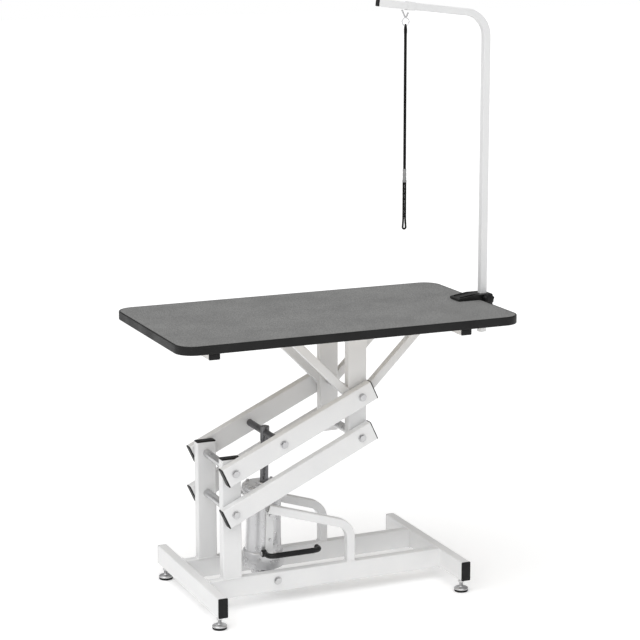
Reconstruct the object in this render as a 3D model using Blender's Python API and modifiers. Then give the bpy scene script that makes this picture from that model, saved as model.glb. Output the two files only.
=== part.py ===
"""Hydraulic Z-lift grooming table, modelled at rest in mid lift.

A welded base of rectangular tube carries two short posts at its left end.
Two pairs of parallel arms run from those posts up to two posts under the
table top, so the top stays level as it rises. A foot-operated hydraulic
pump stands between the base rails and pushes a shaft that joins the upper
arms. A bent grooming arm with a leash is clamped to the right edge of the
top. Metres, +Z up, origin on the floor under the middle of the whole box.
"""

import math

import bmesh
import bpy
from mathutils import Matrix, Vector

GAP = 0.0003                    # clearance between pieces that touch
ROUND = 16                      # sides of small turned pieces and holes

# Table top
TOP_LENGTH = 1.080
TOP_DEPTH = 0.600
TOP_HEIGHT = 0.8565             # at rest, in mid lift
TOP_THICK = 0.0255
TOP_LEFT = -0.560
TOP_CORNER = 0.055
BAND_THICK = 0.004
MAT_THICK = 0.002
TOP_RIGHT = TOP_LEFT + TOP_LENGTH
TOP_MIDDLE = TOP_LEFT + TOP_LENGTH / 2
TOP_UNDER = TOP_HEIGHT - TOP_THICK

# Rectangular tube of the frame, and where its outer faces lie
TUBE_TALL = 0.060
TUBE_WIDE = 0.030
WALL = 0.002
TUBE_CORNER = 0.004
FRAME_FACE = 0.1195             # outer face of rails and posts, both sides
FRAME_MID = FRAME_FACE - TUBE_WIDE / 2
PLUG_THICK = 0.004

# Base
BASE_LEFT = -0.4465
BASE_LENGTH = 0.8176
BASE_UNDER = 0.0405
CROSS_LENGTH = 0.530
BASE_TOP = BASE_UNDER + TUBE_TALL
BASE_MID = BASE_UNDER + TUBE_TALL / 2
FOOT_RADIUS = 0.022
FOOT_Y = 0.236
POST_X = -0.3447
POST_TOP = 0.466

# Parallel arms, as angle above level at rest
LINK = 0.446
REST_ANGLE = math.radians(24.86)
LOW_PIVOT = 0.3075
HIGH_PIVOT = 0.4324
ARM_LEFT_END = 0.031            # tube beyond the left pivot
ARM_RIGHT_END = 0.042           # tube beyond the right pivot
ARM_MID = FRAME_FACE + 0.004 + TUBE_WIDE / 2
LINK_RUN = LINK * math.cos(REST_ANGLE)
LINK_RISE = LINK * math.sin(REST_ANGLE)
UPPER_X = POST_X + LINK_RUN
CROSSBAR_REACH = 0.1689

# Pivot shafts
PIN_RADIUS = 0.008
SHAFT_RADIUS = 0.0125
WASHER_RADIUS = 0.0125
HEAD_RADIUS = 0.009

# Frame under the top
RAIL_TALL = 0.040
RAIL_UNDER = TOP_UNDER - GAP - RAIL_TALL
CROSS_RAIL_WIDE = 0.034
CROSS_RAIL_TALL = 0.020
CROSS_RAIL_LEFT = -0.4725
CROSS_RAIL_RIGHT = 0.3535
CROSS_RAIL_LENGTH = 0.568
BRACE = 0.025
BRACE_REACH = 0.195             # brace centre from post centre, at the rail

# Hydraulic pump, built upright on its foot shaft and then leaned
PUMP_FOOT = Vector((-0.2010, 0.0, 0.075))
CYLINDER_TOP = 0.275            # above the foot shaft
CYLINDER_TOP_RADIUS = 0.0515
FLANGE_RADIUS = 0.068
FLANGE_DEEP = 0.028
CYLINDER_LOW_RADIUS = 0.055
DRUM_RADIUS = 0.062
DRUM_TOP = 0.064
DRUM_UNDER = 0.014
ROD_RADIUS = 0.0125
ROD_LENGTH = 0.240              # below the crossbar
ROD_HEAD_RADIUS = 0.0138
BORE_DEPTH = 0.212
LUG_SLOT_LONG = 0.0385          # room for the leaning that one ratio can't give
LUG_SLOT_TALL = 0.0270
VALVE_BAR_WIDE = 0.024
VALVE_BAR_TOP = 0.205
VALVE_BAR_X = -0.0060

# Guard bars beside the pump
GUARD_SIZE = 0.026
GUARD_LEG_X = 0.0415
GUARD_BEND = 0.055
GUARD_SLOPE = math.radians(17.5)
GUARD_HEIGHT = 0.214            # centre line where leg and slope would meet
GUARD_RUN = 0.280

# Foot pedal
PEDAL_RADIUS = 0.0085
PEDAL_HEIGHT = 0.148
PEDAL_LEFT = -0.2230
PEDAL_RIGHT = -0.0560
PEDAL_FRONT = -0.106
PEDAL_PIVOT_Y = -0.070
PEDAL_BEND = 0.017
PEDAL_HUB_LONG = 0.013

# Grooming arm and its clamp
POLE = 0.022
POLE_WALL = 0.0015
POLE_X = 0.538
POLE_Y = -0.006
POLE_FOOT = 0.750
POLE_TOP = 1.7315               # centre lines of pole and boom meet here
BOOM_RISE = math.radians(6.5)
BOOM_END_X = 0.176
BOOM_BEND = 0.075
EYE_X = 0.2805
EYE_LENGTH = 0.024
CLAMP_WIDE = 0.060
CLAMP_OUT = 0.560
CLAMP_TIP = 0.440
CLAMP_TOP = 0.8735
CLAMP_UNDER = 0.800
CLAMP_PLATE = 0.012
SCREW_X = 0.475
SCREW_RADIUS = 0.0050
KNOB_RADIUS = 0.0170
LOCK_Z = 0.862

# Leash
CORD_RADIUS = 0.0044
LOOP_RADIUS = 0.0030
RING_Z = 1.7145
SLIDER_TOP = 1.2745
SLIDER_UNDER = 1.2405
LEASH_END = 1.089
RING_RADIUS = 0.0115
NOOSE_HALF = 0.0033             # half the spacing of the noose's two strands
NOOSE_EYE = 0.0055


for old in list(bpy.data.objects):
    bpy.data.objects.remove(old)

parts = bpy.data.collections.new("grooming_table")
cutters = bpy.data.collections.new("cutters")
bpy.context.scene.collection.children.link(parts)
bpy.context.scene.collection.children.link(cutters)


# Materials ---------------------------------------------------------------

def material(name, colour, roughness, metallic=0.0):
    made = bpy.data.materials.new(name)
    made.use_nodes = True
    shader = made.node_tree.nodes["Principled BSDF"]
    shader.inputs["Base Color"].default_value = (*colour, 1.0)
    shader.inputs["Roughness"].default_value = roughness
    shader.inputs["Metallic"].default_value = metallic
    return made


WHITE_PAINT = material("white_powder_coat", (0.80, 0.80, 0.80), 0.40)
SILVER_PAINT = material("silver_paint", (0.42, 0.42, 0.43), 0.38, 0.35)
BLACK_PLASTIC = material("black_plastic", (0.015, 0.015, 0.015), 0.45)
BLACK_PAINT = material("black_powder_coat", (0.012, 0.012, 0.012), 0.40)
ZINC = material("zinc_plate", (0.55, 0.55, 0.56), 0.30, 1.0)
GREY_STEEL = material("grey_steel", (0.13, 0.13, 0.14), 0.35, 0.8)
GREY_MAT = material("grey_rubber_mat", (0.24, 0.24, 0.24), 0.80)
PLYWOOD = material("plywood", (0.45, 0.30, 0.17), 0.65)
EDGE_BLACK = material("black_edging", (0.025, 0.025, 0.025), 0.50)
CHROME = material("chrome", (0.75, 0.75, 0.76), 0.12, 1.0)
CORD_BLACK = material("black_cord", (0.008, 0.008, 0.008), 0.85)


# Shape helpers -----------------------------------------------------------

def add_part(name, mesh, finish, angle=35):
    """Put a mesh in the object's collection as one named sub-part."""
    made = bpy.data.objects.new(name, mesh)
    parts.objects.link(made)
    mesh.materials.clear()
    mesh.materials.append(finish)
    mesh.shade_smooth()
    mesh.set_sharp_from_angle(angle=math.radians(angle))
    return made


def mesh_from(bm, name):
    mesh = bpy.data.meshes.new(name)
    bm.to_mesh(mesh)
    bm.free()
    return mesh


def bevel(made, width, segments=2):
    rounding = made.modifiers.new("rounding", "BEVEL")
    rounding.width = width
    rounding.segments = segments
    rounding.limit_method = "ANGLE"
    rounding.harden_normals = False


def cut(made, cutter, operation="DIFFERENCE"):
    """Cut a part with a cutter, or join the cutter to it."""
    joint = made.modifiers.new(cutter.name, "BOOLEAN")
    joint.object = cutter
    joint.operation = operation


def as_cutter(made):
    """Move a part among the cutters, out of the model."""
    parts.objects.unlink(made)
    cutters.objects.link(made)
    made.hide_render = True
    made.display_type = "WIRE"
    return made


def move_origin(made, origin):
    """Put a part's origin on its joint, without moving its shape."""
    made.data.transform(Matrix.Translation(-origin))
    made.location = origin


def joint_at(name, place, pieces=()):
    """An empty on a joint's axis, with the pieces that move on it as its children."""
    empty = bpy.data.objects.new(name, None)
    parts.objects.link(empty)
    empty.location = place
    for piece in pieces:
        piece.parent = empty
        piece.matrix_parent_inverse = Matrix.Translation(-Vector(place))
    return empty


def pieces_named(*starts):
    return [made for made in parts.objects if made.type == "MESH" and made.name.startswith(starts)]


def box(name, low, high, finish, rounding=0.0):
    """A solid block between two corners, with its edges rounded."""
    low, high = Vector(low), Vector(high)
    bm = bmesh.new()
    bmesh.ops.create_cube(bm, size=1.0)
    bmesh.ops.scale(bm, vec=high - low, verts=bm.verts)
    made = add_part(name, mesh_from(bm, name), finish)
    made.location = (low + high) / 2
    if rounding:
        bevel(made, rounding)
    return made


def sleeve(name, across, depth, length, finish, wall=WALL):
    """A hollow rectangular tube along local Z, open at both ends."""
    bm = bmesh.new()
    bmesh.ops.create_cube(bm, size=1.0)
    ends = [face for face in bm.faces if abs(face.normal.z) > 0.5]
    bmesh.ops.delete(bm, geom=ends, context="FACES_ONLY")
    bmesh.ops.scale(bm, vec=(across, depth, length), verts=bm.verts)
    made = add_part(name, mesh_from(bm, name), finish)
    bevel(made, TUBE_CORNER if across > 0.03 else 0.003)
    shell = made.modifiers.new("wall", "SOLIDIFY")
    shell.thickness = wall
    shell.offset = -1
    shell.use_even_offset = True
    return made


def lay_along_x(made, centre):
    """Turn a sleeve so that its length runs along X and its width stands up."""
    made.rotation_euler = (0.0, math.pi / 2, 0.0)
    made.location = centre
    return made


def lay_along_y(made, centre):
    """Turn a sleeve so that its length runs along Y and its width stands up."""
    turned = Matrix.Rotation(math.pi / 2, 3, "X") @ Matrix.Rotation(math.pi / 2, 3, "Z")
    made.rotation_euler = turned.to_euler()
    made.location = centre
    return made


def turned(name, profile, finish, steps=24):
    """A lathe piece about local Z: profile of (radius, height), top to bottom."""
    bm = bmesh.new()
    verts = [bm.verts.new((radius, 0.0, height)) for radius, height in profile]
    for upper, lower in zip(verts, verts[1:]):
        bm.edges.new((upper, lower))
    made = add_part(name, mesh_from(bm, name), finish)
    lathe = made.modifiers.new("lathe", "SCREW")
    lathe.steps = steps
    lathe.render_steps = steps
    lathe.use_merge_vertices = True
    lathe.merge_threshold = 0.00002
    lathe.use_normal_calculate = False
    return made


def arc(centre, radius, start, end, steps):
    """Points of a round stretch, angles in radians."""
    points = []
    for step in range(steps + 1):
        angle = start + (end - start) * step / steps
        points.append(centre + Vector((math.cos(angle), math.sin(angle))) * radius)
    return points


def rounded_rectangle(length, depth, radius, steps=6):
    """Outline of a rectangle with round corners about the origin."""
    points = []
    for quarter in range(4):
        start = quarter * math.pi / 2
        side_x = 1 if quarter in (0, 3) else -1
        side_y = 1 if quarter in (0, 1) else -1
        centre = Vector((side_x * (length / 2 - radius), side_y * (depth / 2 - radius)))
        points += arc(centre, radius, start, start + math.pi / 2, steps)
    return points


def outline(name, loops, thick, finish, rounding=0.0):
    """A flat plate: closed 2D outlines filled and given a thickness."""
    curve = bpy.data.curves.new(name, "CURVE")
    curve.dimensions = "2D"
    curve.fill_mode = "BOTH"
    curve.extrude = thick / 2
    for loop in loops:
        spline = curve.splines.new("POLY")
        spline.points.add(len(loop) - 1)
        for point, place in zip(spline.points, loop):
            point.co = (place[0], place[1], 0.0, 1.0)
        spline.use_cyclic_u = True
    return curve_to_part(name, curve, finish, rounding)


def curve_to_part(name, curve, finish, rounding=0.0, angle=35):
    """Turn a curve into a welded mesh sub-part."""
    drawn = bpy.data.objects.new(name + "_curve", curve)
    parts.objects.link(drawn)
    graph = bpy.context.evaluated_depsgraph_get()
    mesh = bpy.data.meshes.new_from_object(drawn.evaluated_get(graph))
    bpy.data.objects.remove(drawn)
    bm = bmesh.new()
    bm.from_mesh(mesh)
    bmesh.ops.remove_doubles(bm, verts=bm.verts, dist=0.00002)
    bmesh.ops.recalc_face_normals(bm, faces=bm.faces)
    bm.to_mesh(mesh)
    bm.free()
    made = add_part(name, mesh, finish, angle)
    if rounding:
        bevel(made, rounding)
    return made


def round_bar(name, points, radius, finish, cyclic=False, resolution=2):
    """A round bar or cord through points, with closed ends."""
    curve = bpy.data.curves.new(name, "CURVE")
    curve.dimensions = "3D"
    curve.bevel_depth = radius
    curve.bevel_resolution = resolution
    curve.use_fill_caps = True
    spline = curve.splines.new("POLY")
    spline.points.add(len(points) - 1)
    for point, place in zip(spline.points, points):
        point.co = (*place, 1.0)
    spline.use_cyclic_u = cyclic
    return curve_to_part(name, curve, finish, angle=50)


def bent_sleeve(name, size, wall, start, runs, finish):
    """A square tube in the XZ plane, open at both ends.

    It starts at a point pointing up. Each run is a straight length, or a
    pair of bend radius and angle, where a positive angle bends towards -X.
    """
    bm = bmesh.new()
    half = size / 2
    corners = [(-half, -half), (half, -half), (half, half), (-half, half)]
    verts = [bm.verts.new(start + Vector((x, y, 0.0))) for x, y in corners]
    ring = [bm.edges.new((verts[i], verts[(i + 1) % 4])) for i in range(4)]
    place, heading = start.copy(), Vector((0.0, 0.0, 1.0))
    for run in runs:
        bend = isinstance(run, tuple)
        steps = max(3, round(abs(math.degrees(run[1])) / 9)) if bend else 1
        for _ in range(steps):
            drawn = bmesh.ops.extrude_edge_only(bm, edges=ring)["geom"]
            moved = [item for item in drawn if isinstance(item, bmesh.types.BMVert)]
            ring = [item for item in drawn if isinstance(item, bmesh.types.BMEdge)]
            if bend:
                radius, angle = run
                sideways = Vector((-heading.z, 0.0, heading.x)) * math.copysign(1, angle)
                centre = place + sideways * radius
                turn = Matrix.Rotation(-angle / steps, 3, "Y")
                bmesh.ops.rotate(bm, cent=centre, matrix=turn, verts=moved)
                place = centre + turn @ (place - centre)
                heading = turn @ heading
            else:
                bmesh.ops.translate(bm, vec=heading * run, verts=moved)
                place = place + heading * run
    bmesh.ops.recalc_face_normals(bm, faces=bm.faces)
    made = add_part(name, mesh_from(bm, name), finish, angle=25)
    bevel(made, size * 0.12)
    made.modifiers["rounding"].angle_limit = math.radians(40)
    shell = made.modifiers.new("wall", "SOLIDIFY")
    shell.thickness = wall
    shell.offset = -1
    shell.use_even_offset = True
    return made, place, heading


def rod_cutter(name, radius, length):
    """A round cutter about the Z direction."""
    bm = bmesh.new()
    bmesh.ops.create_cone(
        bm, cap_ends=True, segments=ROUND, radius1=radius, radius2=radius, depth=length
    )
    return as_cutter(add_part(name, mesh_from(bm, name), GREY_STEEL))


def hole_along_y(name, x, z, radius):
    """A round cutter that runs through the whole width of the table."""
    cutter = rod_cutter(name, radius, 0.5)
    cutter.rotation_euler = (math.pi / 2, 0.0, 0.0)
    cutter.location = (x, 0.0, z)
    return cutter


def plug(name, centre, outward, across, wide):
    """A black plug: a cushioned plate over a tube's end, and its shank inside."""
    bm = bmesh.new()
    bmesh.ops.create_cube(bm, size=1.0)
    bmesh.ops.scale(bm, vec=(across - 0.0004, wide - 0.0004, PLUG_THICK), verts=bm.verts)
    bm.faces.ensure_lookup_table()
    inner = [face for face in bm.faces if face.normal.z < -0.5]
    rim = [edge for edge in bm.edges if min(v.co.z for v in edge.verts) > 0]
    inset = WALL + 2 * GAP
    bmesh.ops.inset_region(bm, faces=inner, thickness=inset, use_even_offset=True)
    drawn = bmesh.ops.extrude_face_region(bm, geom=inner)["geom"]
    moved = [item for item in drawn if isinstance(item, bmesh.types.BMVert)]
    bmesh.ops.translate(bm, vec=(0.0, 0.0, -0.010), verts=moved)
    bmesh.ops.delete(bm, geom=inner, context="FACES_ONLY")
    bmesh.ops.bevel(bm, geom=rim, offset=0.0018, segments=2, profile=0.5, affect="EDGES")
    bmesh.ops.recalc_face_normals(bm, faces=bm.faces)
    made = add_part(name, mesh_from(bm, name), BLACK_PLASTIC)
    facing = Vector(outward)
    side = Vector((0.0, 1.0, 0.0)) if abs(facing.y) < 0.5 else Vector((1.0, 0.0, 0.0))
    upright = side.cross(facing)
    frame = Matrix((upright, side, facing)).transposed()
    if frame.determinant() < 0:
        frame = Matrix((-upright, side, facing)).transposed()
    made.rotation_euler = frame.to_euler()
    made.location = Vector(centre) + facing * (PLUG_THICK / 2 + GAP)
    return made


# Base --------------------------------------------------------------------

def build_base():
    base_right = BASE_LEFT + BASE_LENGTH
    low_hole = hole_along_y("low_left_hole", POST_X, LOW_PIVOT, PIN_RADIUS + GAP)
    high_hole = hole_along_y("high_left_hole", POST_X, HIGH_PIVOT, PIN_RADIUS + GAP)
    foot_hole = hole_along_y("pump_foot_hole", PUMP_FOOT.x, PUMP_FOOT.z, PIN_RADIUS + GAP)

    for side, x in (("left", BASE_LEFT), ("right", base_right - TUBE_WIDE)):
        centre = Vector((x + TUBE_WIDE / 2, 0.0, BASE_MID))
        member = sleeve("cross_member_" + side, TUBE_TALL, TUBE_WIDE, CROSS_LENGTH, WHITE_PAINT)
        lay_along_y(member, centre)
        for end, sign in (("front", -1), ("back", 1)):
            place = centre + Vector((0.0, sign * CROSS_LENGTH / 2, 0.0))
            plug(f"base_plug_{end}_{side}", place, (0.0, sign, 0.0), TUBE_TALL, TUBE_WIDE)
            build_foot(f"foot_{end}_{side}", centre.x, sign * FOOT_Y)
            stem = rod_cutter(f"stem_hole_{end}_{side}", 0.0055, 0.020)
            stem.location = (centre.x, sign * FOOT_Y, BASE_UNDER)
            cut(member, stem)

    for end, sign in (("front", -1), ("back", 1)):
        length = BASE_LENGTH - 2 * TUBE_WIDE - 2 * GAP
        middle = (BASE_LEFT + base_right) / 2
        rail = sleeve("base_rail_" + end, TUBE_TALL, TUBE_WIDE, length, WHITE_PAINT)
        lay_along_x(rail, (middle, sign * FRAME_MID, BASE_MID))
        cut(rail, foot_hole)

        height = POST_TOP - BASE_TOP - GAP
        post = sleeve("lower_post_" + end, TUBE_TALL, TUBE_WIDE, height, WHITE_PAINT)
        post.location = (POST_X, sign * FRAME_MID, BASE_TOP + GAP + height / 2)
        cut(post, low_hole)
        cut(post, high_hole)
        top = (POST_X, sign * FRAME_MID, POST_TOP)
        plug("post_plug_" + end, top, (0.0, 0.0, 1.0), TUBE_TALL, TUBE_WIDE)
        build_guard("guard_bar_" + end, sign * FRAME_MID)


def build_foot(name, x, y):
    """Levelling foot: rubber pad, pressed disc, hex collar and stem in one."""
    profile = [
        (0.0, 0.055), (0.0050, 0.055), (0.0050, 0.0345), (0.0095, 0.0345), (0.0095, 0.0275),
        (0.0060, 0.0275), (0.0070, 0.0150), (0.0180, 0.0120), (FOOT_RADIUS, 0.0090),
        (FOOT_RADIUS, 0.0020), (FOOT_RADIUS - 0.0020, 0.0), (0.0, 0.0),
    ]
    foot = turned(name, profile, ZINC, steps=ROUND)
    foot.location = (x, y, 0.0)


def build_guard(name, y):
    """A bar that stands on the rail, bends and runs up past the pump."""
    start = Vector((GUARD_LEG_X, y, BASE_TOP + GAP))
    turn = math.pi / 2 - GUARD_SLOPE
    tangent = GUARD_BEND * math.tan(turn / 2)
    leg = GUARD_HEIGHT - tangent - start.z
    runs = [leg, (GUARD_BEND, turn), GUARD_RUN - tangent]
    bent_sleeve(name, GUARD_SIZE, WALL, start, runs, WHITE_PAINT)


# Pivot shafts ------------------------------------------------------------

def pivot_shaft(name, x, z, inner, outer, finish, radius=SHAFT_RADIUS):
    """A shaft along Y: thick between the inner faces, pinned to the outer.

    Its bolt heads and washers lie on the outer faces of what it joins.
    """
    half = [
        (0.0, outer + 0.0068), (0.0055, outer + 0.0068), (HEAD_RADIUS, outer + 0.0045),
        (HEAD_RADIUS, outer + 0.0022), (WASHER_RADIUS, outer + 0.0022),
        (WASHER_RADIUS, outer + GAP), (PIN_RADIUS, outer + GAP),
        (PIN_RADIUS, inner - GAP), (radius, inner - GAP),
    ]
    mirrored = [(r, -height) for r, height in reversed(half)]
    shaft = turned(name, half + mirrored, finish, steps=ROUND)
    shaft.rotation_euler = (math.pi / 2, 0.0, 0.0)
    shaft.location = (x, 0.0, z)
    return shaft


def build_shafts():
    between_posts = FRAME_FACE - TUBE_WIDE
    arm_face = ARM_MID + TUBE_WIDE / 2
    pivot_shaft("lower_left_shaft", POST_X, LOW_PIVOT, between_posts, arm_face, ZINC)
    pivot_shaft("upper_left_shaft", POST_X, HIGH_PIVOT, between_posts, arm_face, ZINC)
    right_low = LOW_PIVOT + LINK_RISE
    right_high = HIGH_PIVOT + LINK_RISE
    pivot_shaft("lower_right_shaft", UPPER_X, right_low, between_posts, arm_face, ZINC)
    pivot_shaft("upper_right_shaft", UPPER_X, right_high, between_posts, arm_face, ZINC)
    bar = crossbar_place()
    between_arms = ARM_MID - TUBE_WIDE / 2
    pivot_shaft("lift_crossbar", bar.x, bar.z, between_arms, arm_face, GREY_STEEL, 0.0105)
    pivot_shaft("pump_foot_shaft", PUMP_FOOT.x, PUMP_FOOT.z, between_posts, FRAME_FACE, ZINC,
                0.0085)


# Arms --------------------------------------------------------------------

def crossbar_place():
    reach = Vector((math.cos(REST_ANGLE), 0.0, math.sin(REST_ANGLE))) * CROSSBAR_REACH
    return Vector((POST_X, 0.0, HIGH_PIVOT)) + reach


def build_arms():
    bar = crossbar_place()
    bar_hole = hole_along_y("crossbar_hole", bar.x, bar.z, PIN_RADIUS + GAP)
    for level, left_z in (("lower", LOW_PIVOT), ("upper", HIGH_PIVOT)):
        right_z = left_z + LINK_RISE
        left_hole = hole_along_y(level + "_arm_left_hole", POST_X, left_z, PIN_RADIUS + GAP)
        right_hole = hole_along_y(level + "_arm_right_hole", UPPER_X, right_z, PIN_RADIUS + GAP)
        for end, sign in (("front", -1), ("back", 1)):
            name = f"{level}_arm_{end}"
            length = ARM_LEFT_END + LINK + ARM_RIGHT_END
            arm = sleeve(name, TUBE_TALL, TUBE_WIDE, length, WHITE_PAINT)
            arm.rotation_euler = (0.0, math.pi / 2 - REST_ANGLE, 0.0)
            middle = length / 2 - ARM_LEFT_END
            along = Vector((math.cos(REST_ANGLE), 0.0, math.sin(REST_ANGLE)))
            arm.location = Vector((POST_X, sign * ARM_MID, left_z)) + along * middle
            cut(arm, left_hole)
            cut(arm, right_hole)
            if level == "upper":
                cut(arm, bar_hole)


# Frame under the top -----------------------------------------------------

def build_upper_frame():
    low_z = LOW_PIVOT + LINK_RISE
    high_z = HIGH_PIVOT + LINK_RISE
    low_hole = hole_along_y("low_right_hole", UPPER_X, low_z, PIN_RADIUS + GAP)
    high_hole = hole_along_y("high_right_hole", UPPER_X, high_z, PIN_RADIUS + GAP)
    post_under = low_z - 0.037
    post_top = RAIL_UNDER - GAP
    left = CROSS_RAIL_LEFT + CROSS_RAIL_WIDE + GAP
    right = CROSS_RAIL_RIGHT - CROSS_RAIL_WIDE - GAP
    half = TUBE_TALL / 2 + GAP
    trimmers = [
        as_cutter(box("above_braces", (-0.3, -0.2, post_top), (0.4, 0.2, 0.9), GREY_STEEL)),
        as_cutter(box("between_braces", (UPPER_X - half, -0.2, 0.5), (UPPER_X + half, 0.2, 1.0), GREY_STEEL)),
    ]
    for end, sign in (("front", -1), ("back", 1)):
        y = sign * FRAME_MID
        post = sleeve("upper_post_" + end, TUBE_TALL, TUBE_WIDE, post_top - post_under, WHITE_PAINT)
        post.location = (UPPER_X, y, (post_under + post_top) / 2)
        cut(post, low_hole)
        cut(post, high_hole)

        rail = sleeve("top_rail_" + end, RAIL_TALL, TUBE_WIDE, right - left, WHITE_PAINT)
        lay_along_x(rail, ((left + right) / 2, y, RAIL_UNDER + RAIL_TALL / 2))
        for side, lean in (("left", -1), ("right", 1)):
            build_brace(f"brace_{end}_{side}", sign * (FRAME_FACE - BRACE / 2), lean, trimmers)

    cross_z = TOP_UNDER - GAP - CROSS_RAIL_TALL / 2
    for side, x in (("left", CROSS_RAIL_LEFT), ("right", CROSS_RAIL_RIGHT - CROSS_RAIL_WIDE)):
        centre = Vector((x + CROSS_RAIL_WIDE / 2, 0.0, cross_z))
        rail = sleeve("cross_rail_" + side, CROSS_RAIL_TALL, CROSS_RAIL_WIDE, CROSS_RAIL_LENGTH, WHITE_PAINT)
        lay_along_y(rail, centre)
        for end, sign in (("front", -1), ("back", 1)):
            place = centre + Vector((0.0, sign * CROSS_RAIL_LENGTH / 2, 0.0))
            plug(f"rail_plug_{end}_{side}", place, (0.0, sign, 0.0), CROSS_RAIL_TALL, CROSS_RAIL_WIDE)


def build_brace(name, y, lean, trimmers):
    """A 45 degree brace from a post's side up to the rail above it."""
    top = Vector((UPPER_X + lean * BRACE_REACH, y, RAIL_UNDER - GAP))
    drop = BRACE_REACH - TUBE_TALL / 2 - GAP
    foot = top + Vector((-lean * drop, 0.0, -drop))
    length = (top - foot).length
    brace = sleeve(name, BRACE, BRACE, length + 2 * BRACE, WHITE_PAINT)
    brace.rotation_euler = (0.0, lean * math.pi / 4, 0.0)
    brace.location = (top + foot) / 2
    for trimmer in trimmers:
        cut(brace, trimmer)


# Table top ---------------------------------------------------------------

def build_top():
    middle = (TOP_MIDDLE, 0.0)
    board_edge = BAND_THICK + GAP
    board_under = TOP_UNDER
    board_top = TOP_HEIGHT - MAT_THICK - GAP
    board_loop = rounded_rectangle(
        TOP_LENGTH - 2 * board_edge, TOP_DEPTH - 2 * board_edge, TOP_CORNER - board_edge
    )
    board = outline("tabletop_board", [board_loop], board_top - board_under, PLYWOOD)
    board.location = (*middle, (board_top + board_under) / 2)

    mat = outline("tabletop_mat", [board_loop], MAT_THICK, GREY_MAT)
    mat.location = (*middle, board_top + GAP + MAT_THICK / 2)

    outer = rounded_rectangle(TOP_LENGTH, TOP_DEPTH, TOP_CORNER)
    inner = rounded_rectangle(
        TOP_LENGTH - 2 * BAND_THICK, TOP_DEPTH - 2 * BAND_THICK, TOP_CORNER - BAND_THICK
    )
    band = outline("edge_band", [outer, inner], TOP_THICK + 0.0004, EDGE_BLACK)
    band.location = (*middle, TOP_UNDER + (TOP_THICK + 0.0004) / 2)


# Hydraulic pump ----------------------------------------------------------

def build_pump():
    """Cylinder with its foot lug, and rod, on one axis that leans to the crossbar."""
    bar = crossbar_place()
    reach = bar - PUMP_FOOT
    lean = math.atan2(reach.x, reach.z)
    axis = joint_at("pump_axis", PUMP_FOOT)
    head = joint_at("rod_pivot", bar)
    for empty in (axis, head):
        empty.rotation_euler = (0.0, lean, 0.0)

    bore = ROD_RADIUS + 0.0008
    cylinder = turned("pump_cylinder", [
        (0.0, CYLINDER_TOP - BORE_DEPTH), (bore, CYLINDER_TOP - BORE_DEPTH),
        (bore, CYLINDER_TOP - 0.0020), (bore + 0.0030, CYLINDER_TOP),
        (FLANGE_RADIUS - 0.014, CYLINDER_TOP - 0.001), (FLANGE_RADIUS - 0.003, CYLINDER_TOP - 0.006),
        (FLANGE_RADIUS, CYLINDER_TOP - 0.011), (FLANGE_RADIUS, CYLINDER_TOP - FLANGE_DEEP),
        (CYLINDER_TOP_RADIUS, CYLINDER_TOP - FLANGE_DEEP - 0.010), (CYLINDER_LOW_RADIUS, DRUM_TOP),
        (DRUM_RADIUS - 0.003, DRUM_TOP), (DRUM_RADIUS, DRUM_TOP - 0.003),
        (DRUM_RADIUS, DRUM_UNDER + 0.003), (DRUM_RADIUS - 0.003, DRUM_UNDER), (0.0, DRUM_UNDER),
    ], SILVER_PAINT, steps=28)
    cylinder.parent = axis

    rod = turned("pump_rod", [
        (0.0, 0.0205), (ROD_HEAD_RADIUS - 0.003, 0.0200), (ROD_HEAD_RADIUS, 0.0165),
        (ROD_HEAD_RADIUS, -0.026), (ROD_RADIUS, -0.029), (ROD_RADIUS, 0.001 - ROD_LENGTH),
        (ROD_RADIUS - 0.001, -ROD_LENGTH), (0.0, -ROD_LENGTH),
    ], GREY_STEEL, steps=20)
    rod.parent = head
    cut(rod, hole_along_y("rod_head_hole", bar.x, bar.z, 0.0105 + GAP))

    lug = as_cutter(box("pump_lug", (-0.030, -0.020, -0.026), (0.030, 0.020, DRUM_UNDER + 0.006),
                        SILVER_PAINT, 0.003))
    slot = rounded_rectangle(LUG_SLOT_LONG, LUG_SLOT_TALL, LUG_SLOT_TALL / 2 - 0.0001, 5)
    opening = as_cutter(outline("lug_slot", [slot], 0.080, GREY_STEEL))
    opening.rotation_euler = (math.pi / 2, 0.0, 0.0)
    for cutter in (lug, opening):
        cutter.parent = axis
    cut(cylinder, lug, "UNION")
    cut(cylinder, opening)

    half = VALVE_BAR_WIDE / 2
    bar_low = Vector((-half, -CYLINDER_LOW_RADIUS - 0.0125, DRUM_TOP + GAP))
    bar_high = Vector((half, -CYLINDER_LOW_RADIUS - 0.0020, VALVE_BAR_TOP))
    valve_bar = box("pump_valve_bar", bar_low, bar_high, WHITE_PAINT, 0.002)
    valve_bar.parent = axis
    valve_bar.location.x += VALVE_BAR_X


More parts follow.
